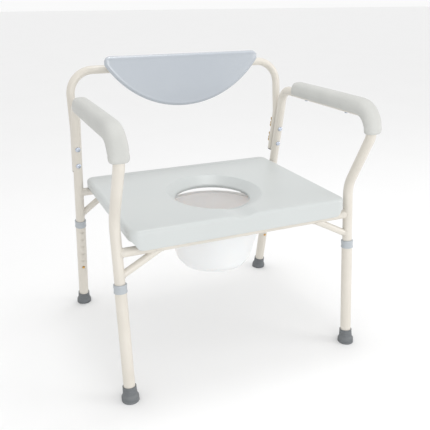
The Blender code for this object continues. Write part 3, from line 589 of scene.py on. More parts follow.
def present(name: str, mesh: bpy.types.Mesh, slot: str, body: str, *nodes: str) -> bpy.types.Object:
    """Put a mesh in the scene as a piece of the chair.

    Args:
        name: The piece's name.
        mesh: Its mesh, in the chair's frame.
        slot: The material slot that it takes its finish from.
        body: The body that it rides on.
        nodes: The nodes that it stands for.
    Returns:
        The object.
    """
    thing = bpy.data.objects.new(name, mesh)
    bpy.context.scene.collection.objects.link(thing)
    mesh.materials.append(FINISHES[slot].material())
    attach(thing, body)
    if nodes:
        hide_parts(*nodes)
    LOG.info("%s rides on %s: %d faces", name, body, len(mesh.polygons))
    return thing


def soften(thing: bpy.types.Object, width: float, segments: int = 3, angle: float = 40.0) -> None:
    """Round the sharp edges of a piece with a live bevel."""
    bevel = thing.modifiers.new("soft edges", "BEVEL")
    bevel.width = width
    bevel.segments = segments
    bevel.limit_method = "ANGLE"
    bevel.angle_limit = math.radians(angle)
    bevel.harden_normals = True


# ---------------------------------------------------------------- how the chair stands

@dataclass(frozen=True)
class Stance:
    """Where the legs stand and how they lean; the other pieces are placed from it."""

    side_x: float = 0.3155
    foot_y: tuple[float, float] = (-0.2541, 0.2757)
    slope: tuple[float, float] = (0.1075, -0.19725)
    bar_heights: tuple[float, float] = (0.373, 0.391)
    frame_r: float = 0.0127
    back_r: float = 0.0111

    def lean(self, end: End) -> float:
        """How far a leg leans along Y for each metre up."""
        return self.slope[0] if end is End.FRONT else self.slope[1]

    def up(self, end: End) -> Array:
        """The unit direction up along a leg."""
        return unit(np.array([0.0, self.lean(end), 1.0]))

    def foot(self, end: End, side: Side | None = None) -> Array:
        """Where a leg's axis meets the floor, or the same at x = 0."""
        y = self.foot_y[0] if end is End.FRONT else self.foot_y[1]
        return np.array([self.side_x * (side.value if side else 0), y, 0.0])

    def out(self, end: End) -> Array:
        """The way a leg's button faces, square to the leg."""
        up = self.up(end)
        ahead = Y_AXIS * end.value
        return unit(ahead - up * (ahead @ up))

    def along(self, end: End, height: float) -> float:
        """How far up a leg a height above the floor is."""
        return height * math.hypot(1.0, self.lean(end))

    def bar_z(self, end: End) -> float:
        """How high a crossbar lies."""
        return self.bar_heights[0] if end is End.FRONT else self.bar_heights[1]

    def bar_y(self, end: End) -> float:
        """Where a crossbar lies along Y."""
        return float((self.foot(end) + self.up(end) * self.along(end, self.bar_z(end)))[1])


STANCE = Stance()


# ---------------------------------------------------------------- frame

@dataclass
class SideFrames:
    """The two bent tubes, each from a front leg over the arm to a rear leg."""

    radius: float = 0.0127
    wall: float = 0.0014
    lower_end: float = 0.118
    knee_z: float = 0.450
    forward_slope: float = -0.507
    arm_z: float = 0.651
    bends: tuple[float, float, float] = (0.090, 0.045, 0.045)

    def corners(self) -> list[Array]:
        """The corners of a frame's axis at x = 0, from the front leg round to the rear leg."""
        front, rear = STANCE.foot(End.FRONT), STANCE.foot(End.REAR)
        knee = np.array([0.0, front[1] + STANCE.slope[0] * self.knee_z, self.knee_z])
        nose = np.array([0.0, knee[1] + self.forward_slope * (self.arm_z - self.knee_z), self.arm_z])
        heel = np.array([0.0, rear[1] + STANCE.slope[1] * self.arm_z, self.arm_z])
        return [front + STANCE.up(End.FRONT) * self.lower_end, knee, nose, heel,
                rear + STANCE.up(End.REAR) * self.lower_end]

    def build(self) -> None:
        """Make both tubes."""
        path = with_stations(rounded_path(self.corners(), self.bends, 3.0), 0.02)
        for side in Side:
            grid = tube_grid(path + X_AXIS * side.value * STANCE.side_x, self.radius, self.radius - self.wall, 44)
            mesh = mesh_of("side_tube_" + side.word, [surface(grid, wrap_rows=True)])
            present("side_tube_" + side.word, mesh, "frame_paint", "frame", "side_frame_" + side.word)


@dataclass
class Strut:
    """A round tube whose ends are coped to two cylinders, with a weld bead round each end."""

    start: Array
    end: Array
    radius: float
    start_axis: Array
    start_radius: float
    end_axis: Array
    end_radius: float
    bead: float = 0.0017
    sides: int = 36
    sink: float = 0.0006

    def rings(self, spare: float) -> tuple[Array, Array]:
        """The rings where the tube's wall meets the two cylinders, each made smaller by spare.

        Args:
            spare: How far inside the cylinders' walls the rings lie.
        Returns:
            The ring at the start and the ring at the end.
        """
        heading = unit(self.end - self.start)
        across = unit(np.cross(heading, Z_AXIS if abs(heading[2]) < 0.9 else X_AXIS))
        angle = ring_angles(self.sides)
        spokes = across * np.cos(angle)[:, None] + np.cross(heading, across) * np.sin(angle)[:, None]
        middle = (self.start + self.end) / 2.0 + spokes * self.radius
        to_end = reach_to_cylinder(middle, heading, self.end, self.end_axis, self.end_radius - spare)
        to_start = reach_to_cylinder(middle, -heading, self.start, self.start_axis, self.start_radius - spare)
        return middle - heading * to_start[:, None], middle + heading * to_end[:, None]

    def tube(self) -> tuple[Array, Array]:
        """The tube, closed at both ends inside the walls that it meets."""
        first, last = self.rings(self.sink)
        share = np.linspace(0.0, 1.0, 12)[:, None, None]
        wall = first + (last - first) * share
        caps = [np.broadcast_to(ring.mean(0), ring.shape)[None] for ring in (first, last)]
        return surface(np.concatenate([caps[0], wall, caps[1]]))

    def beads(self) -> list[tuple[Array, Array]]:
        """Weld beads: small tubes along the meeting rings, whose radius swells and sinks like laid ripples."""
        made = []
        for ring in self.rings(0.0):
            tangent = unit(np.roll(ring, -1, axis=0) - np.roll(ring, 1, axis=0))
            outward = unit(ring - ring.mean(0))
            outward = unit(outward - tangent * np.sum(outward * tangent, axis=1, keepdims=True))
            square = np.cross(tangent, outward)
            swell = self.bead * (1.0 + 0.16 * np.cos(ring_angles(self.sides) * self.sides / 3.0))
            angle = ring_angles(10)
            spokes = (outward[:, None] * np.cos(angle)[:, None] + square[:, None] * np.sin(angle)[:, None])
            made.append(surface(ring[:, None] + spokes * swell[:, None, None], wrap_rows=True))
        return made


@dataclass
class CrossMembers:
    """The two crossbars, the four braces under them and the two rails that carry the pail."""

    bar_r: float = 0.0111
    brace_r: float = 0.0090
    brace_low_z: float = 0.316
    brace_high_x: tuple[float, float] = (0.205, 0.222)
    rail_x: float = 0.1560
    rail_lip: float = 0.021
    rail_t: float = 0.002
    rail_low_z: float = 0.370

    def build(self) -> None:
        """Make every member."""
        for end in End:
            self._bar(end)
            for side in Side:
                self._brace(end, side)
        for side in Side:
            self._rail(side)

    def _bar(self, end: End) -> None:
        """A level tube between the side frames, with its beads."""
        at = STANCE.foot(end) + STANCE.up(end) * STANCE.along(end, STANCE.bar_z(end))
        reach = X_AXIS * STANCE.side_x
        bar = Strut(at - reach, at + reach, self.bar_r, STANCE.up(end), STANCE.frame_r, STANCE.up(end),
                    STANCE.frame_r)
        mesh = mesh_of("crossbar_tube_" + end.word, [bar.tube(), *bar.beads()])
        present("crossbar_tube_" + end.word, mesh, "frame_paint", "frame", "crossbar_" + end.word)

    def _brace(self, end: End, side: Side) -> None:
        """A diagonal tube from an upright to the crossbar, with its beads."""
        up = STANCE.up(end)
        low = STANCE.foot(end, side) + up * STANCE.along(end, self.brace_low_z)
        high_x = self.brace_high_x[0] if end is End.FRONT else self.brace_high_x[1]
        high = np.array([side.value * high_x, STANCE.bar_y(end), STANCE.bar_z(end)])
        brace = Strut(low, high, self.brace_r, up, STANCE.frame_r, X_AXIS, self.bar_r, bead=0.0015)
        name = "{}_{}".format(end.word, side.word)
        mesh = mesh_of("brace_tube_" + name, [brace.tube(), *brace.beads()])
        present("brace_tube_" + name, mesh, "frame_paint", "frame", "brace_" + name)

    def _rail(self, side: Side) -> None:
        """An angle: an upright web with a lip that turns in under the pail's rim."""
        low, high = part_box("pail_rail_" + side.word)
        top, t = high.z, self.rail_t
        x, lip, z = self.rail_x, self.rail_lip, self.rail_low_z
        outline = np.array([(x - t, top), (x - t, z + t), (x - lip, z + t), (x - lip, z), (x, z), (x, top)])
        outline[:, 0] *= side.value
        shape = extruded(outline, np.array([0.0, low.y, 0.0]), Y_AXIS * (high.y - low.y), X_AXIS, Z_AXIS)
        rail = present("pail_angle_" + side.word, mesh_of("pail_angle_" + side.word, [shape]), "frame_paint",
                       "frame", "pail_rail_" + side.word)
        soften(rail, 0.0005, 2)


# ---------------------------------------------------------------- legs

@dataclass
class TelescopicLegs:
    """Four outer tubes with rows of holes, their collars, feet and snap buttons."""

    radius: float = 0.0143
    wall: float = 0.0012
    start: float = 0.010
    top_z: float = 0.296
    hole_pitch: float = 0.0254
    hole_count: int = 6
    hole_r: float = 0.0045
    button_z: float = 0.1403
    button_r: float = 0.0039
    button_out: float = 0.0168
    collar_r: float = 0.0161
    collar_skirt: float = 0.017
    collar_cap: float = 0.004
    foot_r: float = 0.0215
    foot_neck_r: float = 0.0168
    foot_height: float = 0.038

    def build(self) -> None:
        """Make every leg."""
        for end in End:
            for side in Side:
                self._tube(end, side)
                self._collar(end, side)
                self._foot(end, side)
                self._button(end, side)

    def _tube(self, end: End, side: Side) -> None:
        """The outer tube, with its holes cut through one wall by round cutters."""
        name = "{}_{}".format(end.word, side.word)
        foot, up, out = STANCE.foot(end, side), STANCE.up(end), STANCE.out(end)
        path = with_stations(np.array([foot + up * self.start, foot + up * STANCE.along(end, self.top_z)]), 0.02)
        grid = tube_grid(path, self.radius, self.radius - self.wall, 44)
        leg = bpy.data.objects.new("leg blank", mesh_of("leg blank", [surface(grid, wrap_rows=True)]))
        first = STANCE.along(end, self.button_z)
        profile = np.array([(0.0, 0.006), (self.hole_r, 0.006), (self.hole_r, 0.03), (0.0, 0.03)])
        holes = [surface(lathe_grid(profile, foot + up * (first + self.hole_pitch * i), out, 24))
                 for i in range(self.hole_count)]
        cutter = bpy.data.objects.new("hole cutter", mesh_of("hole cutter", holes))
        for thing in (leg, cutter):
            bpy.context.scene.collection.objects.link(thing)
        cut = leg.modifiers.new("holes", "BOOLEAN")
        cut.solver = "EXACT"
        cut.object = cutter
        graph = bpy.context.evaluated_depsgraph_get()
        mesh = bpy.data.meshes.new_from_object(leg.evaluated_get(graph))
        for thing in (leg, cutter):
            bpy.data.objects.remove(thing, do_unlink=True)
        mesh.name = "leg_tube_" + name
        mesh.materials.clear()
        mesh.shade_smooth()
        mesh.set_sharp_from_angle(angle=math.radians(40.0))
        present("leg_tube_" + name, mesh, "leg_paint", "leg_" + name, "leg_" + name)

    def _collar(self, end: End, side: Side) -> None:
        """A cap ring on the top of the outer tube: a rounded skirt with a shallow waist."""
        name = "{}_{}".format(end.word, side.word)
        top = STANCE.along(end, self.top_z)
        cap, low = top + self.collar_cap, top - self.collar_skirt
        inner, outer, leg = STANCE.frame_r + SLIVER, self.collar_r, self.radius + SLIVER
        corners = [(inner, cap), (outer, cap), (outer, top - 0.002), (outer - 0.0006, top - 0.0035),
                   (outer - 0.0006, low + 0.005), (outer, low + 0.0035), (outer, low), (leg, low),
                   (leg, top + SLIVER), (inner, top + SLIVER), (inner, cap)]
        bends = [0.0020, 0.0010, 0.0010, 0.0010, 0.0010, 0.0009, 0.0003, 0.0, 0.0]
        profile = rounded_path(corners, bends, 15.0)[:, :2]
        mesh = mesh_of("leg_collar_" + name, [surface(lathe_grid(profile, STANCE.foot(end, side),
                                                                 STANCE.up(end)))])
        present("leg_collar_" + name, mesh, "collar_plastic", "leg_" + name, "collar_" + name)

    def _foot(self, end: End, side: Side) -> None:
        """A rubber tip: a ringed neck over a flared base, flattened where it stands on the floor."""
        name = "{}_{}".format(end.word, side.word)
        neck, base, bore = self.foot_neck_r, self.foot_r, self.radius + SLIVER
        corners = [(0.0, self.start - SLIVER), (bore, self.start - SLIVER), (bore, self.foot_height),
                   (neck, self.foot_height), (neck, 0.0335), (neck - 0.0008, 0.0325), (neck - 0.0008, 0.0315),
                   (neck + 0.0002, 0.0305), (neck + 0.0003, 0.0270), (neck - 0.0005, 0.0260),
                   (neck - 0.0005, 0.0250), (neck + 0.0005, 0.0240), (neck + 0.0008, 0.0175),
                   (base - 0.0006, 0.0120), (base, 0.0095), (base, 0.0045), (base - 0.0012, 0.0036),
                   (base - 0.0012, 0.0028), (base, 0.0020), (base, -0.0060), (0.0, -0.0060)]
        bends = [0.0, 0.0005, 0.0009, 0.0004, 0.0004, 0.0004, 0.0004, 0.0004, 0.0004, 0.0004, 0.0005, 0.0020,
                 0.0020, 0.0010, 0.0006, 0.0003, 0.0003, 0.0004, 0.0, 0.0]
        profile = rounded_path(corners, bends[:len(corners) - 2], 18.0)[:, :2]
        grid = lathe_grid(profile, STANCE.foot(end, side), STANCE.up(end))
        grid[..., 2] = np.maximum(grid[..., 2], 0.0)
        mesh = mesh_of("leg_tip_" + name, [surface(grid)])
        present("leg_tip_" + name, mesh, "foot_rubber", "leg_" + name, "foot_" + name)

    def _button(self, end: End, side: Side) -> None:
        """A domed button on a folded strip of spring."""
        name = "{}_{}".format(end.word, side.word)
        up, out = STANCE.up(end), STANCE.out(end)
        middle = STANCE.foot(end, side) + up * STANCE.along(end, self.button_z)
        near, far, fold = 0.0059, -0.0095, 0.034
        corners = [(0.0, self.button_out), (self.button_r, self.button_out), (self.button_r, near),
                   (0.0, near)]
        profile = rounded_path(corners, [0.0018, 0.0], 12.0)[:, :2]
        head = surface(lathe_grid(profile, middle, out, 28))
        line = rounded_path([(near, -0.007), (near, 0.009), (near * 0.05, fold), (far * 0.4, fold), (far, 0.006),
                             (far, -0.004)], [0.004, 0.002, 0.002, 0.004], 12.0)[:, :2]
        normal = unit(np.gradient(line, axis=0))[:, ::-1] * np.array([-1.0, 1.0]) * 0.0003
        strip = np.concatenate([line + normal, (line - normal)[::-1]])
        clip = extruded(strip, middle - X_AXIS * 0.0032, X_AXIS * 0.0064, out, up)
        mesh = mesh_of("button_clip_" + name, [head, clip])
        present("button_clip_" + name, mesh, "button_brass", "button_" + name, "snap_button_" + name)


# ---------------------------------------------------------------- back

@dataclass
class BackHoop:
    """The hoop of tube behind the rear uprights, and the plugs in its lower ends."""

    low_along: float = 0.458
    knee_z: float = 0.5747
    top_y: float = 0.2035
    top_z: float = 0.7305
    bends: tuple[float, float, float, float] = (0.08, 0.065, 0.065, 0.08)
    wall: float = 0.0012
    up: Array = field(init=False)
    low: Array = field(init=False)
    knee: Array = field(init=False)
    top: Array = field(init=False)

    def __post_init__(self) -> None:
        """Work out the hoop's corners at x = 0."""
        self.up = STANCE.up(End.REAR)
        offset = -STANCE.out(End.REAR) * (STANCE.frame_r + STANCE.back_r + SLIVER)
        self.low = STANCE.foot(End.REAR) + self.up * self.low_along + offset
        self.knee = self.low + self.up * ((self.knee_z - self.low[2]) / self.up[2])
        self.top = np.array([0.0, self.top_y, self.top_z])

    def lean(self) -> Array:
        """The unit direction up along the hoop's upper part."""
        return unit(self.top - self.knee)

    def ahead(self) -> Array:
        """The way that the back panel faces, square to the hoop's upper part."""
        lean = self.lean()
        return np.array([0.0, -lean[2], lean[1]])

    def build(self) -> None:
        """Make the hoop and its plugs."""
        wide = X_AXIS * STANCE.side_x
        corners = [self.low - wide, self.knee - wide, self.top - wide, self.top + wide, self.knee + wide,
                   self.low + wide]
        path = with_stations(rounded_path(corners, self.bends, 3.0), 0.02)
        grid = tube_grid(path, STANCE.back_r, STANCE.back_r - self.wall, 40)
        present("back_hoop", mesh_of("back_hoop", [surface(grid, wrap_rows=True)]), "frame_paint", "frame",
                "back_frame")
        r = STANCE.back_r
        corners_2d = [(0.0, 0.010), (r - self.wall - SLIVER, 0.010), (r - self.wall - SLIVER, -SLIVER),
                      (r, -SLIVER), (r * 0.95, -0.003), (0.0, -0.003)]
        profile = rounded_path(corners_2d, [0.001, 0.0, 0.0006, 0.0014], 15.0)[:, :2]
        for side in Side:
            start = self.low + X_AXIS * side.value * STANCE.side_x
            mesh = mesh_of("hoop_plug_" + side.word, [surface(lathe_grid(profile, start, self.up, 32))])
            present("hoop_plug_" + side.word, mesh, "plug_plastic", "frame", "tube_plug_" + side.word)


@dataclass
class BackPanel:
    """The curved panel: straight along its top and an arc below, with a soft bead round its rim."""

    hoop: BackHoop
    half: float = 0.2265
    top: float = 0.033
    bottom: float = -0.1105
    arc: float = 0.2731
    front: float = -0.030
    wrap: float = 0.020
    thick: float = 0.014
    corner: float = 0.016
    rim: float = 0.0070
    saddle_x: float = 0.120
    columns: int = 150
    rows: int = 46

    def place(self, local: Array) -> Array:
        """Points in the panel's space (across, back, up along the hoop) moved to the chair's frame."""
        back, up = -self.hoop.ahead(), self.hoop.lean()
        return self.hoop.top + local[..., :1] * X_AXIS + local[..., 1:2] * back + local[..., 2:3] * up

    def face(self, x: Array) -> Array:
        """How far back the panel's front is: a parabola that brings its sides forward."""
        return self.front - self.wrap * (x / self.half) ** 2

    def build(self) -> None:
        """Make the panel, its saddles and its screws."""
        self._shell()
        for side in Side:
            self._saddle(side)
            self._screw(side)

    def _shell(self) -> None:
        """Two sheets, apart by a thickness that falls to nothing at the rim as a quarter of an ellipse does,
        with a bead that stands out a little inside the rim."""
        u = np.sin(np.linspace(-1.0, 1.0, self.columns) * math.pi / 2.0)
        v = (1.0 - np.cos(np.linspace(0.0, 1.0, self.rows) * math.pi)) / 2.0
        x = (u * self.half)[:, None]
        low = self.bottom + self.arc - np.sqrt(self.arc ** 2 - x * x)
        over = np.maximum(0.0, np.abs(x) - (self.half - self.corner))
        high = self.top - self.corner + np.sqrt(np.maximum(0.0, self.corner ** 2 - over ** 2))
        tall = high - low
        z = low + tall * v[None, :]
        slant = np.sqrt(self.arc ** 2 - x * x) / self.arc
        edge = np.minimum(np.minimum((z - low) * slant, high - z), (self.half - np.abs(x)) * 0.9)
        edge = np.maximum(edge, 0.0)
        share = np.clip(edge / self.rim, 0.0, 1.0)
        bead = 0.0011 * np.exp(-((edge - 0.0062) / 0.0030) ** 2)
        depth = self.thick / 2.0 * np.sqrt(1.0 - (1.0 - share) ** 2)
        middle = self.face(x) + self.thick / 2.0 + 0.0 * z
        sheets = [np.stack([x + 0.0 * z, middle + sign * (depth + bead * share), z], -1) for sign in (-1.0, 1.0)]
        parts = [surface(self.place(sheet), wrap_columns=False) for sheet in sheets]
        present("back_rest_shell", mesh_of("back_rest_shell", parts, 2e-5), "panel_plastic", "frame",
                "back_panel")

    def _saddle(self, side: Side) -> None:
        """A block between the panel and the top rail, hollowed to the rail's round."""
        x, half = side.value * self.saddle_x, 0.011
        groove = STANCE.back_r + SLIVER
        start = float(self.face(np.array(x - side.value * half))) + self.thick + 0.0009
        top = 0.013
        angle = np.linspace(math.asin(top / (groove + 0.0035)) * 0.98, -math.asin(top / (groove + 0.0035)) * 0.98, 24)
        arc = np.stack([-groove * np.cos(angle), groove * np.sin(angle)], -1)
        flat = np.stack([np.full(24, start), np.linspace(top, -top, 24)], -1)
        outline = np.concatenate([flat, arc[::-1]])
        back, up = -self.hoop.ahead(), self.hoop.lean()
        shape = extruded(outline, self.hoop.top + X_AXIS * (x - half), X_AXIS * half * 2.0, back, up)
        saddle = present("rail_saddle_" + side.word, mesh_of("rail_saddle_" + side.word, [shape]),
                         "panel_plastic", "frame", "panel_saddle_" + side.word)
        soften(saddle, 0.0006, 2)

    def _screw(self, side: Side) -> None:
        """A domed screw through the rail into the panel, with a cross cut as a shallow dish in its head."""
        x = side.value * self.saddle_x
        reach = STANCE.back_r + SLIVER + 0.0006
        tip = float(self.face(np.array(x))) + 0.0068
        corners = [(0.0, 0.0022), (0.0012, 0.0022), (0.0017, 0.0032), (0.0046, 0.0022), (0.0046, 0.0),
                   (0.0020, 0.0), (0.0020, tip - reach), (0.0, tip - reach)]
        profile = rounded_path(corners, [0.0002, 0.0004, 0.0012, 0.0003, 0.0, 0.0], 15.0)[:, :2]
        start = self.place(np.array([x, reach, 0.0]))
        mesh = mesh_of("rail_screw_" + side.word, [surface(lathe_grid(profile, start, -self.hoop.ahead(), 28))])
        present("rail_screw_" + side.word, mesh, "zinc", "frame", "panel_screw_" + side.word)


@dataclass
class BackFastenings:
    """The bolts through the rear uprights and the wing nuts behind the hoop."""

    along: dict[str, float] = field(default_factory=lambda: {"lower": 0.4890, "upper": 0.5387})
    shank: float = 0.0030

    def build(self) -> None:
        """Make every bolt and nut."""
        for side in Side:
            for level, distance in self.along.items():
                middle = STANCE.foot(End.REAR, side) + STANCE.up(End.REAR) * distance
                self._bolt("{}_{}".format(level, side.word), middle)
                self._nut("{}_{}".format(level, side.word), middle)

    def _bolt(self, name: str, middle: Array) -> None:
        """A domed head in front of the upright, on a shank whose thread is rings cut in its last part."""
        head = STANCE.frame_r + SLIVER
        tail = STANCE.frame_r + STANCE.back_r * 2 + SLIVER * 2 + 0.0125
        corners = [(0.0, head + 0.0042), (0.0068, head + 0.0034), (0.0072, head), (self.shank, head)]
        dome = rounded_path(corners, [0.0042, 0.0004], 10.0)[:, :2]
        turns = np.arange(0.0, 0.0115, 0.0004)
        ridge = self.shank - 0.00022 * (1.0 + np.cos(turns / 0.0008 * 2.0 * math.pi)) / 2.0
        thread = np.stack([ridge, -(tail - 0.0118) - turns], -1)
        profile = np.concatenate([dome, thread, [[self.shank * 0.85, -tail], [0.0, -tail]]])
        mesh = mesh_of("upright_bolt_" + name, [surface(lathe_grid(profile, middle, STANCE.out(End.REAR), 36))])
        present("upright_bolt_" + name, mesh, "zinc", "frame", "back_bolt_" + name)

    def _nut(self, name: str, middle: Array) -> None:
        """A tapered hub with two rounded wings, each a flat ellipse that is thickest in its middle."""
        back, up = -STANCE.out(End.REAR), STANCE.up(End.REAR)
        start = middle + back * (STANCE.frame_r + SLIVER * 2 + STANCE.back_r * 2)
        bore = self.shank + SLIVER
        corners = [(bore, 0.0), (0.0060, 0.0), (0.0048, 0.009), (bore, 0.009), (bore, 0.0)]
        profile = rounded_path(corners, [0.0004, 0.0008, 0.0002], 15.0)[:, :2]
        parts = [surface(lathe_grid(profile, start, back, 32))]
        turn, rise = np.meshgrid(ring_angles(36), np.linspace(0.0, math.pi, 14))
        for way in (-1.0, 1.0):
            long_way = unit(up * way * 0.0065 + back * 0.0074)
            wide_way = unit(np.cross(long_way, X_AXIS))
            centre = start + up * way * 0.0088 + back * 0.0090
            flat = 0.0088 * np.sin(rise) ** 0.8 * np.cos(turn)
            wide = 0.0052 * np.sin(rise) ** 0.8 * np.sin(turn)
            thick = 0.0011 * np.cos(rise)
            parts.append(surface(centre + flat[..., None] * long_way + wide[..., None] * wide_way
                                 + thick[..., None] * X_AXIS))
        mesh = mesh_of("hoop_nut_" + name, parts)
        present("hoop_nut_" + name, mesh, "yellow_zinc", "frame", "wing_nut_" + name)


# ---------------------------------------------------------------- seat

@dataclass
class Seat:
    """The moulded seat: a flat top with a rounded edge, a dished opening, a channel to the front edge and a
    skirt all round; and the clips under it."""

    half: float = 0.290
    front: float = -0.2402
    back: float = 0.2208
    top: float = 0.428
    corner: float = 0.024
    edge: float = 0.0095
    skirt_z: float = 0.4028
    apron_z: float = 0.380
    rear_apron_z: float = 0.399
    wall: float = 0.0080
    hole: tuple[float, float, float] = (-0.0307, 0.102, 0.1065)
    dish: tuple[float, float, float] = (-0.0417, 0.127, 0.1475)
    dish_depth: float = 0.0205
    channel_half: float = 0.042
    channel_depth: float = 0.0068
    clip_x: float = 0.200
    count: int = 90

    def outline(self, inset: float) -> Array:
        """A rounded rectangle inside the seat's outline, from the middle of its front, anticlockwise. Points
        are spread evenly along each of the straights and each corner, so every inset has the same ones.

        Args:
            inset: How far in from the outline it lies.
        Returns:
            Points (n, 2).
        """
        half, front, back = self.half - inset, self.front + inset, self.back - inset
        corner = max(0.004, self.corner - inset)
        arc = np.radians(np.linspace(0.0, 90.0, 13))
        share = np.linspace(0.0, 1.0, self.count, endpoint=False)[1:, None]
        centres = np.array([(half - corner, front + corner), (half - corner, back - corner),
                            (-half + corner, back - corner), (-half + corner, front + corner)])
        pieces = []
        for i, centre in enumerate(centres):
            angle = arc + math.radians(-90 + 90 * i)
            bend = centre + corner * np.stack([np.cos(angle), np.sin(angle)], -1)
            last = math.radians(90 * i)
            following = centres[(i + 1) % 4] + corner * np.array([math.cos(last), math.sin(last)])
            pieces += [bend, bend[-1] + (following - bend[-1]) * share]
        return np.concatenate(pieces)

    def oval(self, shape: tuple[float, float, float], grow: float = 0.0) -> Array:
        """An oval whose points lie in the same directions from its middle as those of the outline.

        Args:
            shape: Its middle's y, and half its size along X and Y.
            grow: How much larger it is than that.
        Returns:
            Points (n, 2).
        """
        y, a, b = shape[0], shape[1] + grow, shape[2] + grow
        outline = self.outline(0.0)
        angle = np.arctan2((outline[:, 1] - y) / b, outline[:, 0] / a)
        return np.stack([a * np.cos(angle), y + b * np.sin(angle)], -1)

    def channel(self, points: Array) -> Array:
        """The channel's depth: half a cosine across, from full depth at the front to none at the dish's
        middle."""
        across = np.clip(np.abs(points[:, 0]) / self.channel_half, 0.0, 1.0)
        ahead = smooth_step((self.dish[0] - points[:, 1]) / 0.10)
        return self.channel_depth * (1.0 + np.cos(math.pi * across)) / 2.0 * ahead

    def strip(self, points: Array) -> Array:
        """A thin raised strip along the rear edge."""
        inside = smooth_step((points[:, 1] - (self.back - 0.030)) / 0.0035)
        inside *= smooth_step((self.back - 0.0130 - points[:, 1]) / 0.0035)
        return 0.0012 * inside * smooth_step((0.262 - np.abs(points[:, 0])) / 0.004)

    def ring(self, points: Array, height: object) -> Array:
        """Points with a height, as a ring of the surface."""
        return np.column_stack([points, np.broadcast_to(height, len(points))])

    @staticmethod
    def fall(share: float) -> float:
        """The dish's fall from its edge (0) to the opening (1): a parabola over the first sixth, whose slope
        then goes on as a straight."""
        knee = 0.16
        whole = 1.0 - knee / 2.0
        return share * share / (2.0 * knee) / whole if share < knee else (share - knee / 2.0) / whole

    def rings(self) -> list[Array]:
        """The rings of the closed shell: up the outside, over the edge, in across the top, down the dish and
        the opening's wall, and back along the underside."""
        outer = self.outline(0.0)
        low = np.where(outer[:, 1] < self.front + 0.0024, self.apron_z, self.skirt_z)
        low = np.where(outer[:, 1] > self.back - 0.0024, self.rear_apron_z, low)
        spread = np.abs(np.arange(-6, 7))
        kernel = np.exp(-(spread / 3.0) ** 2)
        low = np.convolve(np.concatenate([low[-6:], low, low[:6]]), kernel / kernel.sum(), "valid")
        made = [self.ring(outer, low + 0.0012), self.ring(outer, low + 0.004)]
        made += [self.ring(outer, low + (self.top - self.edge - low) * s) for s in (0.35, 0.7)]
        for angle in np.radians(np.linspace(0.0, 90.0, 9)):
            points = self.outline(self.edge * (1.0 - math.cos(angle)))
            drop = self.channel(points) * (0.35 + 0.65 * math.sin(angle))
            made.append(self.ring(points, self.top - self.edge * (1.0 - math.sin(angle)) - drop))
        rim, dish = self.outline(self.edge), self.oval(self.dish)
        for s in np.linspace(0.0, 1.0, 56)[1:]:
            points = rim + (dish - rim) * s
            made.append(self.ring(points, self.top - self.channel(points) + self.strip(points)))
        hole = self.oval(self.hole)
        for s in np.linspace(0.0, 1.0, 22)[1:]:
            points = dish + (hole - dish) * s
            sink = self.dish_depth * self.fall(s)
            made.append(self.ring(points, self.top - sink - self.channel(points) * (1.0 - s) ** 1.5))
        made += [self.ring(self.oval(self.hole, grow), self.top - down) for grow, down in (
            (-0.0012, 0.0222), (-0.0014, 0.0240), (-0.0010, 0.0270), (0.0, 0.0296), (0.0012, 0.0300),
            (0.0048, 0.0300), (0.0060, 0.0292), (0.0060, 0.0240))]
        under = self.top - self.wall
        made.append(self.ring(self.oval(self.dish), under - 0.0065))
        made.append(self.ring(self.outline(0.030), under - 0.0075))
        made.append(self.ring(self.outline(self.wall + 0.002), under - 0.0078))
        made.append(self.ring(self.outline(self.wall), under - 0.0095))
        made += [self.ring(self.outline(inset), low + lift) for inset, lift in (
            (self.wall, 0.002), (self.wall - 0.0008, 0.0003), (self.wall - 0.002, 0.0), (0.0012, 0.0))]
        return made

    def build(self) -> None:
        """Make the shell and its clips."""
        mesh = mesh_of("seat_shell", [surface(np.stack(self.rings()), wrap_rows=True)])
        present("seat_shell", mesh, "seat_plastic", "seat", "seat")
        for end in End:
            for side in Side:
                self._clip(end, side)

    def _clip(self, end: End, side: Side) -> None:
        """A clip that grips the rear crossbar, or a saddle on the front one: a block with a round mouth."""
        x, half, bar = side.value * self.clip_x, 0.013, CrossMembers.bar_r + SLIVER
        outer = bar + 0.0028
        roof = self.top - self.wall - 0.0080 - SLIVER - STANCE.bar_z(end)
        mouth = math.radians(-22.0 if end is End.REAR else 10.0)
        angle = np.linspace(mouth, math.pi - mouth, 40)
        inner = np.stack([bar * np.cos(angle), bar * np.sin(angle)], -1)
        outside = np.stack([outer * np.cos(angle), outer * np.sin(angle)], -1)
        square = np.abs(outside[:, 0]) < outer - 0.004
        outside[:, 1] = np.where(square & (outside[:, 1] > 0), roof, outside[:, 1])
        outline = np.concatenate([outside, inner[::-1]])
        start = np.array([x - half, STANCE.bar_y(end), STANCE.bar_z(end)])
        shape = extruded(outline, start, X_AXIS * half * 2.0, Y_AXIS, Z_AXIS)
        name = "{}_{}".format(end.word, side.word)
        clip = present("bar_clip_" + name, mesh_of("bar_clip_" + name, [shape]), "collar_plastic", "seat",
                       "seat_clip_" + name)
        soften(clip, 0.0005, 2, 60.0)


# ---------------------------------------------------------------- pail

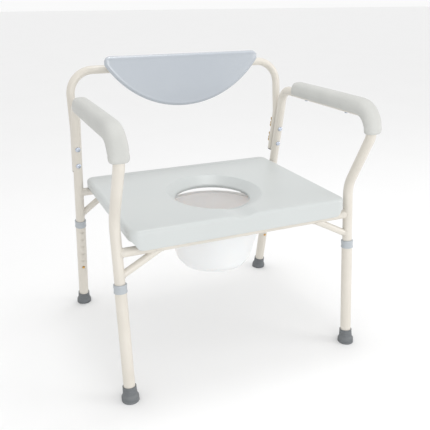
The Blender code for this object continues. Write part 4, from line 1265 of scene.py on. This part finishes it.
@dataclass
class Pail:
    """A tapered round pail with a wide flat rim."""

    y: float = -0.0392
    rim_r: float = 0.150
    rim_z: float = 0.3775
    top_r: float = 0.1338
    base_r: float = 0.100
    base_z: float = 0.228
    wall: float = 0.0026
    lip_z: float = 0.3723

    def build(self) -> None:
        """Make the pail: the wall inside and out, a step under the rim and a foot ring under the base."""
        base, wall, rim = self.base_z, self.wall, self.rim_z
        corners = [(0.0, base + wall + 0.0012), (self.base_r - 0.010, base + wall),
                   (self.base_r - 0.0015, base + 0.016), (self.top_r - wall, rim - 0.014),
                   (self.top_r - 0.0008, rim), (self.rim_r, rim), (self.rim_r, self.lip_z),
                   (self.rim_r - 0.0022, self.lip_z), (self.rim_r - 0.0022, self.lip_z + 0.0026),
                   (self.top_r + 0.0030, self.lip_z + 0.0024), (self.top_r + 0.0010, rim - 0.022),
                   (self.top_r - 0.0012, rim - 0.024), (self.base_r + 0.0018, base + 0.014),
                   (self.base_r - 0.0100, base), (self.base_r - 0.0160, base), (self.base_r - 0.0180, base + 0.0014),
                   (0.0, base + 0.0014)]
        bends = [0.010, 0.012, 0.008, 0.003, 0.0018, 0.0004, 0.0004, 0.0006, 0.0015, 0.0010, 0.0010, 0.014,
                 0.0015, 0.0008, 0.0008]
        profile = rounded_path(corners, bends, 7.0)[:, :2]
        origin = np.array([0.0, self.y, 0.0])
        mesh = mesh_of("pail_bowl", [surface(lathe_grid(profile, origin, Z_AXIS, 120))])
        present("pail_bowl", mesh, "pail_plastic", "pail", "pail")


# ---------------------------------------------------------------- arm pads

@dataclass
class ArmPads:
    """Moulded foam pads on the arms: soft-cornered over the tube, and thinner where they turn down in front."""

    frames: SideFrames
    rear_y: float = 0.0728
    end_z: float = 0.604
    half: float = 0.0235
    top: float = 0.033
    nose: float = 0.0205
    low: float = 0.003
    soft_end: float = 0.010
    screw_y: dict[str, float] = field(default_factory=lambda: {"rear": 0.0173, "front": -0.1727})
    around: int = 34

    def stations(self) -> tuple[Array, Array]:
        """The tube's axis under the pad, from its front end to its rear end.

        Returns:
            The points, and how far each is from the pad's front end.
        """
        fine = with_stations(rounded_path(self.frames.corners(), self.frames.bends, 2.5), 0.003)
        ahead = fine[:, 1] < 0.0
        keep = (ahead & (fine[:, 2] > self.end_z)) | (~ahead & (fine[:, 1] < self.rear_y) & (fine[:, 2] > 0.64))
        path = fine[keep]
        last = np.array([0.0, self.rear_y, self.frames.arm_z])
        path = np.concatenate([path[path[:, 1] < self.rear_y - 0.0015], last[None]])
        lengths = np.concatenate([[0.0], np.cumsum(np.linalg.norm(np.diff(path, axis=0), axis=1))])
        total = lengths[-1]
        tips = self.soft_end * (1.0 - np.cos(np.linspace(0.0, math.pi / 2.0, 9)))
        middle = np.arange(self.soft_end + 0.003, total - self.soft_end - 0.002, 0.004)
        where = np.concatenate([tips, middle, total - tips[::-1]])
        return np.stack([np.interp(where, lengths, path[:, k]) for k in range(3)], -1), where

    def build(self) -> None:
        """Make both pads and their screws."""
        path, where = self.stations()
        total = where[-1]
        tangents = unit(np.gradient(path, axis=0))
        over = np.stack([np.zeros(len(path)), -tangents[:, 2], tangents[:, 1]], -1)
        thin = smooth_step(where / 0.085)
        end = np.minimum(where, total - where)
        pull = 1.0 - np.sqrt(np.clip(1.0 - (1.0 - np.clip(end / self.soft_end, 0.0, 1.0)) ** 2, 0.0, 1.0))
        crease = 0.0007 * np.exp(-((where - 0.0165) / 0.0025) ** 2)
        crown = 0.0007 * np.sin(math.pi * where / total)
        top = self.nose + (self.top - self.nose) * thin - pull * 0.0075 - crease - 0.0007 + crown
        half = self.half - pull * 0.0060 - crease - 0.0005 + crown * 0.7
        bore = STANCE.frame_r + SLIVER
        phi = np.linspace(0.0, math.pi, self.around)
        power = 2.0 / 3.1
        wide = np.sign(np.cos(phi)) * np.abs(np.cos(phi)) ** power
        tall = np.abs(np.sin(phi)) ** power
        pinch = 1.0 - 0.10 * np.exp(-(tall / 0.16) ** 2)
        across = half[:, None] * (wide * pinch)[None, :]
        above = -self.low + (top + self.low)[:, None] * tall[None, :]
        seam = 0.0005 * np.exp(-((above - 0.006) / 0.0010) ** 2)
        across = across - np.sign(across) * seam * (np.abs(wide) > 0.6)
        inner_a = bore * np.cos(phi)
        inner_b = np.maximum(bore * np.sin(phi), -self.low + 0.0 * phi)
        inner_b = np.where(phi < 0.02, -self.low, np.where(phi > math.pi - 0.02, -self.low, inner_b))
        count = len(path)
        ring_a = np.concatenate([across, np.broadcast_to(inner_a[::-1], (count, self.around))], 1)
        ring_b = np.concatenate([above, np.broadcast_to(inner_b[::-1], (count, self.around))], 1)
        size = 2 * self.around
        k = np.arange(self.around - 1)
        cap = np.stack([k, k + 1, size - 2 - k, size - 1 - k], -1)
        faces = np.concatenate([grid_faces(count, size, False, True), cap, cap[:, ::-1] + (count - 1) * size])
        for side in Side:
            centre = path + X_AXIS * side.value * STANCE.side_x
            grid = centre[:, None] + ring_a[..., None] * X_AXIS + ring_b[..., None] * over[:, None]
            mesh = mesh_of("arm_cushion_" + side.word, [(grid, faces)])
            pad = present("arm_cushion_" + side.word, mesh, "pad_foam", "frame", "arm_pad_" + side.word)
            self._screws(side)

    def _screws(self, side: Side) -> None:
        """Pan-head screws up through the tube into the pad."""
        head = STANCE.frame_r + SLIVER
        corners = [(0.0, head + 0.0018), (0.0012, head + 0.0018), (0.0016, head + 0.0026),
                   (0.0044, head + 0.0020), (0.0044, head), (0.0018, head), (0.0018, -0.024), (0.0, -0.024)]
        profile = rounded_path(corners, [0.0002, 0.0003, 0.0010, 0.0002, 0.0, 0.0], 15.0)[:, :2]
        for place, y in self.screw_y.items():
            name = "{}_{}".format(place, side.word)
            start = np.array([side.value * STANCE.side_x, y, self.frames.arm_z])
            mesh = mesh_of("arm_screw_" + name, [surface(lathe_grid(profile, start, -Z_AXIS, 28))])
            present("arm_screw_" + name, mesh, "zinc", "frame", "pad_screw_" + name)


# ---------------------------------------------------------------- studio

@dataclass
class Studio:
    """A pale floor, soft light and the camera."""

    camera_at: tuple[float, float, float] = (-0.5978, -1.3991, 0.9286)
    camera_turn: tuple[float, float, float] = (68.934, 0.0, -23.899)
    lens: float = 48.63
    world: float = 0.96

    def build(self) -> None:
        """Make the floor, the lights and the camera."""
        scene = bpy.context.scene
        scene.view_settings.view_transform = "Standard"
        self._floor()
        self._world(scene)
        self._light("low key softbox", (-0.4, -3.0, 0.60), (0.0, 0.0, 0.40), 1.6, 22.0)
        self._light("side strip", (2.6, -1.6, 1.2), (0.0, 0.0, 0.45), 1.2, 18.0)
        self._light("lamp over the seat", (0.1, 0.1, 1.9), (0.0, 0.0, 0.3), 0.5, 5.0)
        data = bpy.data.cameras.new("camera")
        data.lens = self.lens
        data.sensor_width = 36.0
        data.clip_end = 60.0
        camera = bpy.data.objects.new("camera", data)
        camera.location = self.camera_at
        camera.rotation_euler = [math.radians(a) for a in self.camera_turn]
        scene.collection.objects.link(camera)
        scene.camera = camera

    def _floor(self) -> None:
        """A wide plain floor just under the feet."""
        reach, z = 30.0, -0.0002
        mesh = bpy.data.meshes.new("floor")
        mesh.from_pydata([(-reach, -reach, z), (reach, -reach, z), (reach, reach, z), (-reach, reach, z)], [],
                         [(0, 1, 2, 3)])
        floor = bpy.data.objects.new("floor", mesh)
        bpy.context.scene.collection.objects.link(floor)
        material = bpy.data.materials.new("pale floor")
        material.use_nodes = True
        graph = Graph(material.node_tree)
        where = graph.add("ShaderNodeTexCoord").outputs["Object"]
        base = graph.mix(graph.noise(where, 2.0, 3.0), (0.90, 0.90, 0.90, 1.0), (0.92, 0.92, 0.92, 1.0))
        shader = graph.add("ShaderNodeBsdfPrincipled", {"Base Color": base, "Roughness": 0.75,
                                                        "Specular IOR Level": 0.2})
        graph.add("ShaderNodeOutputMaterial", {"Surface": shader.outputs[0]})
        mesh.materials.append(material)

    def _world(self, scene: bpy.types.Scene) -> None:
        """Even white light from all round."""
        world = bpy.data.worlds.new("studio")
        world.use_nodes = True
        graph = Graph(world.node_tree)
        shade = graph.add("ShaderNodeBackground", {"Color": (1.0, 1.0, 1.0, 1.0), "Strength": self.world})
        graph.add("ShaderNodeOutputWorld", {"Surface": shade.outputs[0]})
        scene.world = world

    def _light(self, name: str, at: tuple[float, float, float], to: tuple[float, float, float], size: float,
               power: float) -> None:
        """A square softbox that looks at a point.

        Args:
            name: The light's name.
            at: Where it stands.
            to: The point that it looks at.
            size: The length of its side.
            power: Its power in watts.
        """
        data = bpy.data.lights.new(name, "AREA")
        data.size = size
        data.energy = power
        light = bpy.data.objects.new(name, data)
        light.location = at
        light.rotation_euler = (Vector(to) - Vector(at)).to_track_quat("-Z", "Y").to_euler()
        bpy.context.scene.collection.objects.link(light)


def main() -> None:
    """Build the chair, then the studio round it."""
    logging.basicConfig(level=logging.INFO, format="%(name)s: %(message)s")
    frames = SideFrames()
    hoop = BackHoop()
    for assembly in (frames, CrossMembers(), TelescopicLegs(), hoop, BackPanel(hoop), BackFastenings(), Seat(),
                     Pail(), ArmPads(frames)):
        LOG.info("building %s", type(assembly).__name__)
        assembly.build()
    Studio().build()


if __name__ == "__main__":
    main()
